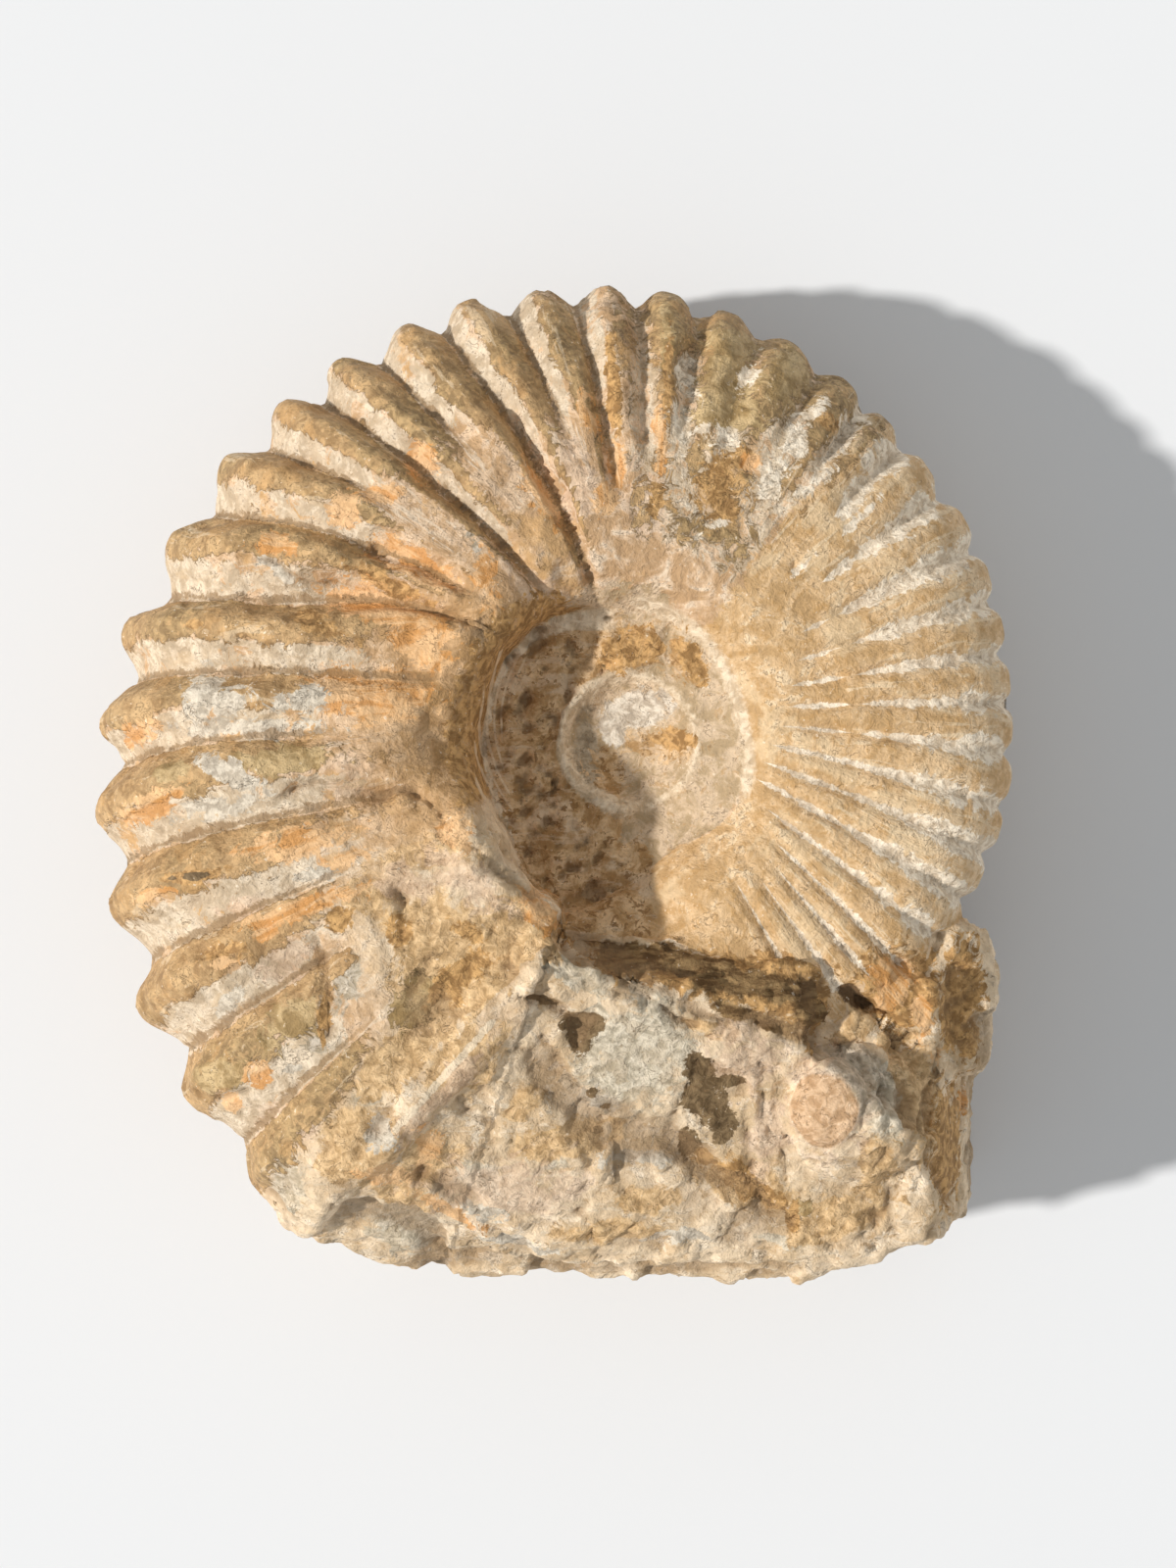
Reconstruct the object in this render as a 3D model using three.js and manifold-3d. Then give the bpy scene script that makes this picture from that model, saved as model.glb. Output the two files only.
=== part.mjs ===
// A fossil ammonite, one solid piece of stone that lies on its flank: a tightly coiled, inflated whorl
// with strong ribs, a deep umbilicus that shows the inner whorls, and a broken mouth filled with matrix.
//
// Millimetres, +Z up. +Y points away from the broken end, and the coil grows anticlockwise as seen from
// above. The shape is worked out about the coil's axis and moved at the end, so that the origin is under
// the middle of the bounding box, on the surface that the fossil rests on.
import * as THREE from "three";
import { ConvexGeometry } from "three/addons/geometries/ConvexGeometry.js";
import { mergeVertices } from "three/addons/utils/BufferGeometryUtils.js";
import Module from "manifold-3d";

const { clamp, degToRad, lerp, radToDeg, smoothstep } = THREE.MathUtils;

// ---- Driving dimensions, in millimetres and degrees ----

const MOUTH = 252; // azimuth where the last whorl's tables end, inside the broken block
const TURN_SCALE = 0.58; // each inner whorl is this much of the one outside it
const COIL_HEIGHT = 28; // height of the coil's middle plane at the axis
const COIL_SLOPE = [-0.058, -0.069]; // rise of that plane along +X and +Y: the mouth side stands higher
const CREST_SHARE = 0.36; // where the whorl is thickest, from its inner to its outer edge
const SEAM_BLEND = { left: 1, right: 3.2 }; // fillet where the whorls meet the umbilicus's floor
const BLOCK_BLEND = { right: 1.2, left: 5.2 }; // fillet where the block meets the whorls

// The umbilicus is filled with matrix. Its floor climbs to the right and the back, and has a round hollow
// with a raised rim, where the innermost whorls have fallen out.
const FLOOR_HEIGHT = 41.4;
const HOLLOW = { at: [1, -3.2], radius: 9.3, height: 37.6, rim: 0.9 };

// The last whorl, as [azimuth, value]. The azimuth runs once round, from the mouth's inner side to the mouth.
const VENTER = table([
  [-108, 50], [-60, 54], [-23, 56], [0, 55.8], [30, 56.8], [56, 58.6], [92, 63.2],
  [128, 65.8], [158, 69.7], [180, 73.8], [210, 79], [232, 83.6], [252, 86],
]); // outer radius, on the ribs
const SHOULDER = table([
  [-108, 27], [-97, 24], [-84, 20.6], [-68, 18.4], [-50, 18.2], [-30, 17], [0, 14], [30, 13], [56, 13.4],
  [90, 13.8], [108, 14.8], [125, 16.4], [150, 18.2], [180, 19.4], [204, 21], [222, 22.6], [252, 27],
]); // radius of the umbilical wall
const HALF_WIDTH = table([
  [-108, 19.5], [-60, 20.5], [0, 21.5], [45, 23], [90, 25.5], [135, 28], [180, 31], [215, 33], [252, 33.6],
]); // half of the whorl's width

// How square the whorl's section is, outside its thickest part and inside it: 2 is an ellipse.
const OUTER_POWER = table([
  [-108, 2.8], [-60, 3.3], [0, 3.5], [30, 3.4], [60, 2.9], [90, 2.4], [110, 2.3], [252, 2.3],
]);
const INNER_POWER = table([
  [-108, 2.9], [-50, 3], [0, 3.4], [60, 3.4], [110, 3.4], [150, 4.8], [200, 5.4], [225, 8], [252, 8],
]);

// Rib crests round the venter, in degrees: close on the younger side, broad on the body chamber.
const RIBS = [
  -61, -54.6, -49, -44.5, -39, -31.6, -24, -16.7, -8.9, -1.2, 5.8, 13.7, 21.6, 30, 39.8, 48.8, 56, 65.8,
  75.2, 83.5, 92, 100.9, 110.1, 118.8, 128.3, 137, 146.7, 157.9, 169.1, 180, 189.9, 200.3, 210.8, 220.6, 231.8,
];
const GROOVE_DEPTH = table([
  [-108, 0.3], [-60, 0.8], [-20, 1.1], [15, 1.3], [35, 1.7], [60, 2.1], [85, 2.6], [110, 3.3],
  [140, 3.8], [180, 4.2], [215, 3.8], [232, 2.8], [245, 0.3], [252, 0],
]); // depth of the grooves at the venter
const GROOVE_SHARE = table([
  [-108, 0.5], [30, 0.5], [70, 0.5], [110, 0.58], [150, 0.66], [232, 0.68], [252, 0.68],
]); // where the groove is deepest, from one crest to the next: the big ribs are steep on one side
const GROOVE_NARROWNESS = table([[-108, 3], [20, 2.6], [60, 1.8], [100, 1.4], [150, 1.15], [252, 1.1]]);

// For the groove in front of each rib, in the same order: the share of the flank's width where it starts, and
// how many times deeper it is on the inner flank. Where a groove starts far out, two ribs branch from one, or
// the flank is worn smooth.
const GROOVE_START = [
  0.15, 0.15, 0.15, 0.15, 0.15, 0.15, 0.15, 0.15, 0.15, 0.18, 0.2, 0.26, 0.34, 0.45, 0.58, 0.68, 0.74, 0.74,
  0.64, 0.58, 0.48, 0.4, 0.56, 0.08, 0.6, 0.12, 0.6, 0.18, 0.06, 0.12, 0.38, 0.2, 0.36, 0.42, 0.55,
];
const INNER_DEPTH = [
  1, 1, 1, 1, 1, 1, 1, 1, 1, 1, 1, 1, 1, 1, 1, 1, 1, 1,
  1, 1, 1.1, 1.4, 1, 1.9, 1, 1.3, 1, 1.1, 1.9, 0.6, 0.8, 0.9, 0.7, 0.8, 1,
];
const RIB_LEAN = table([
  [-108, 3], [-60, 3], [-20, 3.5], [10, 1.5], [40, -2], [75, -4], [92, -9], [106, -14], [124, -12.5],
  [134, -13], [143, -18], [152, -20], [158, -17], [165, -9.5], [171, -7], [184, 2], [195, 5.5], [207, 6],
  [232, 7], [252, 3],
]); // how far a rib's inner end is turned on from its middle
const RIB_ARCH = table([
  [-108, 0], [158, 0], [171, -1.5], [184, -4.5], [195, -3.5], [207, -2], [232, -1], [252, 0],
]); // and how far its middle is turned back from its outer end

// The mouth is broken off along a line across the flank, with a raised vein of calcite on it.
const VEIN = { from: [-17, -42], to: [-32, -58], radius: 2.4, height: 1.8 };
const MOUTH_NORMAL = [0.73, -0.684]; // pointing out of the whorl
const MOUTH_WEAR = { height: 60.5, fall: 0.08, blend: 5 }; // the flank is worn flat towards the mouth

// The block of matrix that fills the mouth. Its sides, as planes that face outwards:
const BLOCK_SIDES = [
  { point: [0, -78.8], normal: [-0.02, -1] }, // broken front
  { point: [26, -78.6], normal: [0.3, -1] }, // its right part
  { point: [53.6, -50], normal: [1, -0.02] }, // right side
  { point: [-43, -71], normal: [-0.62, -1] }, // corner under the mouth
  { point: [4, -30.5], normal: [0.147, 1] }, // wall to the umbilicus
  { point: [-18.5, -40.6], normal: [-0.73, 0.684] }, // along the mouth
];
const BLOCK_UNDERSIDE = { height: -6, at: [0, -50], slope: [0, 0.95] }; // rises to meet the whorl's flank
// and the planes of its broken top, with their rises along +X and +Y:
const MAIN_FACE = { height: 62, at: [-10, -32], slope: [-0.16, 0.33] };
const RIDGE_END = { height: 49.5, at: [26.5, -46], slope: [-2.6, 0] }; // step down at the ridge's right end
const LOW_SHELF = { height: 44.5, at: [30, -45], slope: [-0.12, 0.2] };
const FRONT_BEVEL = { height: 45, at: [0, -73], slope: [0.05, 1.35] };
const RIGHT_BEVEL = { height: 42.5, at: [44, -50], slope: [-2.6, 0.15] };
const BACK_SLOPE = table([[-12, 4], [-4, 3.2], [2, 2.2], [10, 1], [18, 0.65], [28, 0.4], [40, 0.4]]);
const BACK_FOOT = { height: 47, y: -30.5, skew: -0.12 }; // where that slope starts, at the umbilicus
const BOSS = { at: [32.5, -55], radius: [10, 9.5], height: 5.5 };

// Matrix left on the venter beside the block, and the gap between the two, each by its corners.
const CRUST = [
  [34, -30, 38], [37, -36, 42], [41, -29, 41], [40, -43, 42], [48, -29.5, 37], [52, -33, 31], [53.4, -44, 28],
  [53, -50, 26], [45, -49, 38], [40, -30, 16], [50, -31, 18], [53.2, -38, 14], [53, -50, 6], [42, -48, 6],
];
const GAP = [
  [31.5, -38.2, 50], [33.5, -36.6, 50], [40.2, -48, 50], [43.6, -47.6, 50], [43.5, -51, 50],
  [33.4, -38.8, 37], [38, -43, 35], [39, -42.4, 35], [42.6, -48.4, 36],
];

// ---- The grid of the faceted solid ----

const BLOCK_STEP = 3.4; // degrees between columns where there are no ribs
const HOLLOW_SHARES = [0.22, 0.42, 0.6, 0.76, 0.9]; // rows of the umbilicus, as shares of its wall's radius
const WALL_OFFSETS = [-0.8, 1.2]; // rows at the foot and the top of the wall
const FLANK_SHARES = [0.2, 0.55, 1]; // rows from the wall to the core line
const RIM_ANGLES = [76, 62, 48, 35, 22, 10, -2, -14, -26, -38, -50, -63, -77]; // rows round the venter
const EDGE_ROW = 5; // the row that keeps to the block's front edge
const EDGE_DIRECTION = [0.95, 0.31]; // outward and up: that edge is the farthest point this way

// The line inside the solid that the outer rows look out from, and the wall that the inner rows keep to.
const CORE_RADIUS = table([
  [-108, 54], [-90, 52], [-60, 48], [-40, 43], [-20, 36], [0, 34], [90, 36], [180, 44], [232, 52], [252, 54],
]);
const WALL_RADIUS = table([
  [-108, 28.2], [-100, 29], [-80, 31.2], [-68, 33.8], [-58, 33], [-46, 25], [-33, 18], [-20, 16.6],
  [0, 16.8], [45, 16.6], [90, 16.4], [129, 17.6], [150, 18.9], [180, 20], [204, 21.4], [227, 23.6],
  [236, 24.9], [244, 26.4], [252, 28.2],
]);
const INNER_SHARE = 0.15; // inside this share of the flank, the columns stop following the ribs

// A smooth curve through [azimuth, value] pairs, as a function of the azimuth.
function table(pairs) {
  const curve = new THREE.CubicInterpolant(pairs.map((p) => p[0]), pairs.map((p) => p[1]), 1);
  return (azimuth) => curve.evaluate(azimuth)[0];
}

// ---- Ways of joining distances: negative is inside ----

function smoothUnion(a, b, radius) {
  const overlap = Math.max(radius - Math.abs(a - b), 0) / radius;
  return Math.min(a, b) - (overlap * overlap * radius) / 4;
}

function smoothMeet(a, b, radius) {
  return -smoothUnion(-a, -b, radius);
}

function plane({ height, at, slope }, x, y) {
  return height + slope[0] * (x - at[0]) + slope[1] * (y - at[1]);
}

function distanceToLine(x, y, { from, to }) {
  const line = new THREE.Line3(new THREE.Vector3(...from, 0), new THREE.Vector3(...to, 0));
  const here = new THREE.Vector3(x, y, 0);
  return here.distanceTo(line.closestPointToPoint(here, true, new THREE.Vector3()));
}

// ---- The whorls ----

function wrap(azimuth) {
  return MOUTH - THREE.MathUtils.euclideanModulo(MOUTH - azimuth, 360);
}

function middle(x, y) {
  return COIL_HEIGHT + COIL_SLOPE[0] * x + COIL_SLOPE[1] * y;
}

// Depth of the groove between the crests on either side of an azimuth, at a share of the flank's width.
function groove(azimuth, share) {
  const next = RIBS.findIndex((crest) => crest > azimuth);
  if (next < 1) return 0;
  const along = (azimuth - RIBS[next - 1]) / (RIBS[next] - RIBS[next - 1]);
  const deepest = GROOVE_SHARE(azimuth);
  const phase = along < deepest ? (0.5 * along) / deepest : 1 - (0.5 * (1 - along)) / (1 - deepest);
  const start = GROOVE_START[next];
  const fade = smoothstep(share, Math.max(start - 0.14, -0.02), start + 0.08);
  const innerDepth = lerp(INNER_DEPTH[next], 1, smoothstep(share, 0.4, 0.8));
  const outerDepth = 0.04 + 0.96 * Math.pow(clamp(share, 0, 1), 0.65);
  const shape = Math.pow(0.5 - 0.5 * Math.cos(2 * Math.PI * phase), GROOVE_NARROWNESS(azimuth));
  return fade * innerDepth * outerDepth * shape;
}

// How far a rib has turned from its outer end, at a share of the way from the inner to the outer edge.
function ribTurn(azimuth, share) {
  const s = clamp(share, 0, 1);
  return RIB_LEAN(azimuth) * Math.pow(1 - s, 1.3) + RIB_ARCH(azimuth) * (1 - Math.pow(s, 5));
}

// Distance to one whorl: turn 0 is the outermost.
function whorl(x, y, z, turn) {
  const scale = Math.pow(TURN_SCALE, turn);
  const radius = Math.hypot(x, y);
  const azimuth = wrap(radToDeg(Math.atan2(y, x)));
  const inner = SHOULDER(azimuth) * scale;
  const outer = VENTER(azimuth) * scale;
  const crest = inner + CREST_SHARE * (outer - inner);
  const across = radius - crest;
  const up = z - middle(x, y);
  const power = across > 0 ? OUTER_POWER(azimuth) : INNER_POWER(azimuth);
  const size = Math.pow(
    Math.pow(Math.abs(across) / (across > 0 ? outer - crest : crest - inner), power) +
      Math.pow(Math.abs(up) / (HALF_WIDTH(azimuth) * scale), power),
    1 / power,
  );
  const distance = Math.hypot(across, up) * (1 - 1 / Math.max(size, 1e-6));
  if (turn > 0) return distance;
  const share = (radius - inner) / (outer - inner);
  return distance + GROOVE_DEPTH(azimuth) * groove(azimuth - ribTurn(azimuth, share), share);
}

// The part of a length beyond zero, with a smooth start.
function ramp(length) {
  return smoothMeet(0, length, 4);
}

// Height of the umbilicus's floor.
function floorTop(x, y) {
  const climb = 0.28 * ramp(x - 5.5) + 0.3 * ramp(y - 6) + 0.12 * ramp(-y - 14) + 0.1 * ramp(-x - 10);
  const across = Math.hypot(x - HOLLOW.at[0], y - HOLLOW.at[1]);
  const rim = Math.exp(-Math.pow((across - HOLLOW.radius) / 1.2, 2)) * (1 - 0.7 * smoothstep(x, -1, 6));
  const bowl = HOLLOW.height + 4 * Math.pow(across / HOLLOW.radius, 4) + 0.25 * ramp(x - 1);
  return smoothUnion(FLOOR_HEIGHT + climb + HOLLOW.rim * rim, bowl, 1.2);
}

// The inner whorls, with the matrix between and over them.
function filling(x, y, z) {
  const azimuth = wrap(radToDeg(Math.atan2(y, x)));
  let matrix = smoothMeet(z - floorTop(x, y), middle(x, y) - 14 - z, 2);
  matrix = smoothMeet(matrix, Math.hypot(x, y) - SHOULDER(azimuth) - 5, 3);
  const whorls = smoothUnion(whorl(x, y, z, 1), whorl(x, y, z, 2), SEAM_BLEND.left);
  return smoothUnion(matrix, smoothMeet(whorls, z - FLOOR_HEIGHT, 1), SEAM_BLEND.left);
}

function coil(x, y, z) {
  let last = whorl(x, y, z, 0);
  if (wrap(radToDeg(Math.atan2(y, x))) > 150) {
    const beyond = (x - VEIN.from[0]) * MOUTH_NORMAL[0] + (y - VEIN.from[1]) * MOUTH_NORMAL[1];
    last = smoothMeet(last, z - MOUTH_WEAR.height + MOUTH_WEAR.fall * beyond, MOUTH_WEAR.blend);
    last = smoothMeet(last, beyond - 0.5, 1.5);
  }
  return smoothUnion(last, filling(x, y, z), lerp(SEAM_BLEND.left, SEAM_BLEND.right, smoothstep(x, 2, 12)));
}

// ---- The broken block ----

function blockTop(x, y) {
  const backSlope = BACK_FOOT.height + BACK_SLOPE(x) * (BACK_FOOT.y - y + BACK_FOOT.skew * x);
  const ridgeEnd = plane(RIDGE_END, x, y) + 3 * Math.max(0, RIDGE_END.at[1] - y);
  let top = smoothUnion(plane(MAIN_FACE, x, y), backSlope, 2.5);
  top = smoothUnion(top, ridgeEnd, 1.5);
  top = smoothMeet(top, plane(LOW_SHELF, x, y), 1.5);
  top = smoothUnion(top, plane(FRONT_BEVEL, x, y), 4);
  top = smoothUnion(top, plane(RIGHT_BEVEL, x, y), 3);
  const reach = Math.hypot((x - BOSS.at[0]) / BOSS.radius[0], (y - BOSS.at[1]) / BOSS.radius[1]);
  const boss = BOSS.height * Math.sqrt(Math.max(1 - reach * reach, 0));
  return top + boss + VEIN.height * (1 - smoothstep(distanceToLine(x, y, VEIN), 0, VEIN.radius));
}

function block(x, y, z) {
  let distance = smoothMeet((z - blockTop(x, y)) / 1.1, plane(BLOCK_UNDERSIDE, x, y) - z, 2);
  for (const { point, normal } of BLOCK_SIDES) {
    const side = ((x - point[0]) * normal[0] + (y - point[1]) * normal[1]) / Math.hypot(...normal);
    distance = smoothMeet(distance, side, 2);
  }
  return distance;
}

// Distance to the whole fossil.
function fossil(x, y, z) {
  const blend = lerp(BLOCK_BLEND.right, BLOCK_BLEND.left, smoothstep(-x, 9, 16));
  return smoothUnion(coil(x, y, z), block(x, y, z), blend);
}

// ---- From distances to a closed, faceted solid ----

// The last point inside the fossil on the way out from a start inside it.
function surfaceFrom(start, direction, reach) {
  const at = (t) => start.clone().addScaledVector(direction, t);
  const inside = (t) => fossil(...at(t).toArray()) < 0;
  let out = reach;
  while (out > 0 && !inside(out)) out -= 0.7;
  let low = out;
  let high = out + 0.7;
  for (let i = 0; i < 13; i++) {
    const half = (low + high) / 2;
    if (inside(half)) low = half;
    else high = half;
  }
  return at(low);
}

// The azimuth on a rib's line, at some radius, of a column that starts at the venter.
function ribAzimuth(column, radius) {
  let azimuth = column;
  for (let i = 0; i < 60; i++) {
    const here = wrap(azimuth);
    const share = (radius - SHOULDER(here)) / (VENTER(here) - SHOULDER(here));
    azimuth = column + ribTurn(here, Math.max(share, INNER_SHARE));
  }
  return azimuth;
}

// A point straight above (side 1) or below (side -1) the middle plane.
function sheetPoint(column, radius, side) {
  const azimuth = degToRad(ribAzimuth(column, radius));
  const x = radius * Math.cos(azimuth);
  const y = radius * Math.sin(azimuth);
  return surfaceFrom(new THREE.Vector3(x, y, middle(x, y)), new THREE.Vector3(0, 0, side), 45);
}

// A point out from the core line, at an angle above the middle plane.
function rimPoint(column, angle) {
  const core = CORE_RADIUS(wrap(column));
  const start = ribAzimuth(column, core);
  const [x, y] = [core * Math.cos(degToRad(start)), core * Math.sin(degToRad(start))];
  const outward = degToRad(lerp(start, column, Math.cos(degToRad(angle))));
  const [out, up] = [Math.cos(degToRad(angle)), Math.sin(degToRad(angle))];
  const direction = new THREE.Vector3(out * Math.cos(outward), out * Math.sin(outward), up);
  return surfaceFrom(new THREE.Vector3(x, y, middle(x, y)), direction, 60);
}

function columns() {
  const list = [];
  for (let rib = 0; rib < RIBS.length - 1; rib++) {
    const deepest = GROOVE_SHARE((RIBS[rib] + RIBS[rib + 1]) / 2);
    for (const along of [0, deepest / 2, deepest, (1 + deepest) / 2])
      list.push(lerp(RIBS[rib], RIBS[rib + 1], along));
  }
  const [last, end] = [RIBS[RIBS.length - 1], RIBS[0] + 360];
  const steps = 2 * Math.round((end - last) / BLOCK_STEP / 2);
  for (let step = 0; step < steps; step++) list.push(lerp(last, end, step / steps));
  return list;
}

// The angles of one column's rim rows. Round the block, one of them is led to the front edge.
function rimAngles(column) {
  const azimuth = wrap(column);
  if (azimuth > -50 && azimuth < 236) return RIM_ANGLES;
  const far = (angle) => {
    const point = rimPoint(column, angle);
    return Math.hypot(point.x, point.y) * EDGE_DIRECTION[0] + point.z * EDGE_DIRECTION[1];
  };
  let edge = RIM_ANGLES[EDGE_ROW];
  for (let angle = -6; angle < 40; angle++) if (far(angle) > far(edge)) edge = angle;
  const ends = [RIM_ANGLES[0], RIM_ANGLES[RIM_ANGLES.length - 1]];
  return RIM_ANGLES.map((angle, row) => {
    const end = row < EDGE_ROW ? ends[0] : ends[1];
    return end + ((angle - end) * (edge - end)) / (RIM_ANGLES[EDGE_ROW] - end);
  });
}

// The rings of points from the top pole, over the venter, to the bottom pole. A ring in the umbilicus has
// every second column only.
function rings() {
  const all = columns();
  const half = all.filter((_, i) => i % 2 === 0);
  const wall = (column) => WALL_RADIUS(wrap(column));
  const core = (column) => CORE_RADIUS(wrap(column));
  const angles = all.map(rimAngles);
  const sheet = (side) => [
    ...HOLLOW_SHARES.map((share) => half.map((c) => sheetPoint(c, share * wall(c), side))),
    ...WALL_OFFSETS.map((offset) => all.map((c) => sheetPoint(c, wall(c) + offset, side))),
    ...FLANK_SHARES.map((share) => all.map((c) => sheetPoint(c, lerp(wall(c) + 2.5, core(c), share), side))),
  ];
  const pole = (side) => [[surfaceFrom(new THREE.Vector3(0, 0, 30), new THREE.Vector3(0, 0, side), 45)]];
  return [
    ...pole(1),
    ...sheet(1),
    ...RIM_ANGLES.map((_, row) => all.map((c, i) => rimPoint(c, angles[i][row]))),
    ...sheet(-1).reverse(),
    ...pole(-1),
  ];
}

// Faces between two closed rings, when one has as many points as the other, twice as many, or just one.
function stitch(faces, upper, lower, startUpper, startLower) {
  const count = Math.max(upper, lower);
  const at = (n, start, i) => start + (Math.floor((i * n) / count) % n);
  for (let i = 0; i < count; i++) {
    const [a, b] = [at(upper, startUpper, i), at(upper, startUpper, i + 1)];
    const [c, d] = [at(lower, startLower, i), at(lower, startLower, i + 1)];
    if (c !== d) faces.push(a, c, d);
    if (a !== b) faces.push(a, d, b);
  }
}

function facetedFossil() {
  const all = rings();
  const faces = [];
  let start = 0;
  for (let i = 0; i + 1 < all.length; i++) {
    const next = start + all[i].length;
    stitch(faces, all[i].length, all[i + 1].length, start, next);
    start = next;
  }
  const geometry = new THREE.BufferGeometry();
  const positions = all.flat().flatMap((point) => point.toArray());
  geometry.setAttribute("position", new THREE.Float32BufferAttribute(positions, 3));
  geometry.setIndex(faces);
  return geometry;
}

// ---- The whole: the crust is joined on, and the gap and all that is under the table are cut away ----

const wasm = await Module();
wasm.setup();

function toManifold(geometry) {
  const plain = geometry.clone();
  plain.deleteAttribute("normal");
  plain.deleteAttribute("uv");
  const merged = mergeVertices(plain, 1e-4);
  return new wasm.Manifold(
    new wasm.Mesh({
      numProp: 3,
      vertProperties: new Float32Array(merged.attributes.position.array),
      triVerts: new Uint32Array(merged.index.array),
    }),
  );
}

function toGeometry(solid) {
  const mesh = solid.getMesh();
  const geometry = new THREE.BufferGeometry();
  geometry.setAttribute("position", new THREE.Float32BufferAttribute(mesh.vertProperties, 3));
  geometry.setIndex(Array.from(mesh.triVerts));
  return geometry;
}

function hull(corners) {
  return toManifold(new ConvexGeometry(corners.map((corner) => new THREE.Vector3(...corner))));
}

const underTable = toManifold(new THREE.BoxGeometry(240, 240, 40).translate(0, 0, -20));
const whole = toManifold(facetedFossil()).add(hull(CRUST)).subtract(hull(GAP)).subtract(underTable);
const geometry = toGeometry(whole);

// The origin goes under the middle of the bounding box.
geometry.computeBoundingBox();
const { min, max } = geometry.boundingBox;
geometry.translate(-(min.x + max.x) / 2, -(min.y + max.y) / 2, -min.z);
geometry.computeVertexNormals();

const stone = new THREE.MeshStandardMaterial({ color: 0xc9a276, roughness: 0.85, metalness: 0 });
const ammonite = new THREE.Mesh(geometry, stone);
ammonite.name = "ammonite";

const group = new THREE.Group();
group.add(ammonite);
export default group;
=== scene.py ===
"""Looks for the fossil ammonite: the carved stone and its finish, a plain floor, soft light
and a view from above."""

import itertools
import math

import bpy
import numpy as np
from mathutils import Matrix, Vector


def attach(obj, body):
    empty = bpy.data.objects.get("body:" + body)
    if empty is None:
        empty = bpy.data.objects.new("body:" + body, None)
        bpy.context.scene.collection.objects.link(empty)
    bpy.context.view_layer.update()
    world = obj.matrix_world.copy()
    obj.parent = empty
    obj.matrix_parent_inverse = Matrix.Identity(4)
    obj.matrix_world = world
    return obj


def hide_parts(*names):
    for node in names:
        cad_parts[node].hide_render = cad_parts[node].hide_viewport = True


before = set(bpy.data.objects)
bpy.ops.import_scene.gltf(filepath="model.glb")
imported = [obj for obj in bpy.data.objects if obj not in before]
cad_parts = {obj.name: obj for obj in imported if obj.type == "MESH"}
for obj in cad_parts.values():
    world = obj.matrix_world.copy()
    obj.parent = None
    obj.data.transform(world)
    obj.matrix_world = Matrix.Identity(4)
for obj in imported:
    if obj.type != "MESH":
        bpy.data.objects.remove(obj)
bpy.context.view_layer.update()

MM = 0.001
SKIN = 1.3  # spacing of the even skin, in millimetres
COIL_AXIS = (8.974, 8.056)  # where the coil's axis stands in the part, in millimetres


# ---- The fossil's form, in millimetres and degrees about the coil's axis ----

MOUTH = 252
TURN_SCALE = 0.58
COIL_HEIGHT = 28
COIL_SLOPE = (-0.058, -0.069)
CREST_SHARE = 0.36
SEAM_BLEND, BLOCK_BLEND, LEFT_BLEND = 1.0, 1.2, 4
NAVEL_FLOOR = 41.4
HOLLOW_AT, HOLLOW_RADIUS, HOLLOW_FLOOR = (1, -3.2), 9.3, 37.6
RIM_HEIGHT, RIM_WIDTH = 0.9, 1.2

RIBS = np.array([
    -61, -54.6, -49, -44.5, -39, -31.6, -24, -16.7, -8.9, -1.2, 5.8, 13.7, 21.6, 30, 39.8, 48.8, 56,
    65.8, 75.2, 83.5, 92, 100.9, 110.1, 118.8, 128.3, 137, 146.7, 157.9, 169.1, 180, 189.9, 200.3,
    210.8, 220.6, 231.8,
])

VEIN_FROM, VEIN_TO = (-17, -42), (-32, -58)
MOUTH_NORMAL = (0.73, -0.684)


def table(*pairs):
    """A smooth curve through (azimuth, value) pairs."""
    t, v = np.array(pairs, float).T
    slope = np.empty_like(v)
    slope[1:-1] = (v[2:] - v[:-2]) / (t[2:] - t[:-2])
    slope[0], slope[-1] = (v[1] - v[0]) / (t[1] - t[0]), (v[-1] - v[-2]) / (t[-1] - t[-2])

    def at(azimuth):
        a = np.clip(azimuth, t[0], t[-1])
        i = np.clip(np.searchsorted(t, a, side="right") - 1, 0, len(t) - 2)
        span = t[i + 1] - t[i]
        s = (a - t[i]) / span
        return (
            (2 * s**3 - 3 * s**2 + 1) * v[i]
            + (s**3 - 2 * s**2 + s) * span * slope[i]
            + (3 * s**2 - 2 * s**3) * v[i + 1]
            + (s**3 - s**2) * span * slope[i + 1]
        )

    return at


VENTER = table(
    (-108, 50), (-60, 54), (-23, 56), (0, 55.8), (30, 56.8), (56, 58.6), (92, 63.2),
    (128, 65.8), (158, 69.7), (180, 73.8), (210, 79), (232, 83.6), (252, 86),
)
SHOULDER = table(
    (-108, 27), (-97, 24), (-84, 20.6), (-68, 18.4), (-50, 18.2), (-30, 17), (0, 14), (30, 13),
    (56, 13.4), (90, 13.8), (108, 14.8), (125, 16.4), (150, 18.2), (180, 19.4), (204, 21),
    (222, 22.6), (252, 27),
)
HALF_WIDTH = table(
    (-108, 19.5), (-60, 20.5), (0, 21.5), (45, 23), (90, 25.5), (135, 28), (180, 31), (215, 33),
    (252, 33.6),
)
OUTER_POWER = table(
    (-108, 2.8), (-60, 3.3), (0, 3.5), (30, 3.4), (60, 2.9), (90, 2.4), (110, 2.3), (252, 2.3),
)
INNER_POWER = table(
    (-108, 2.9), (-50, 3), (0, 3.4), (60, 3.4), (110, 3.4), (150, 4.8), (200, 5.4), (225, 8), (252, 8),
)
GROOVE_DEPTH = table(
    (-108, 0.3), (-60, 0.8), (-20, 1.1), (15, 1.3), (35, 1.7), (60, 2.1), (85, 2.6), (110, 3.3),
    (140, 3.8), (180, 4.2), (215, 3.8), (232, 2.8), (245, 0.3), (252, 0),
)
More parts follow.
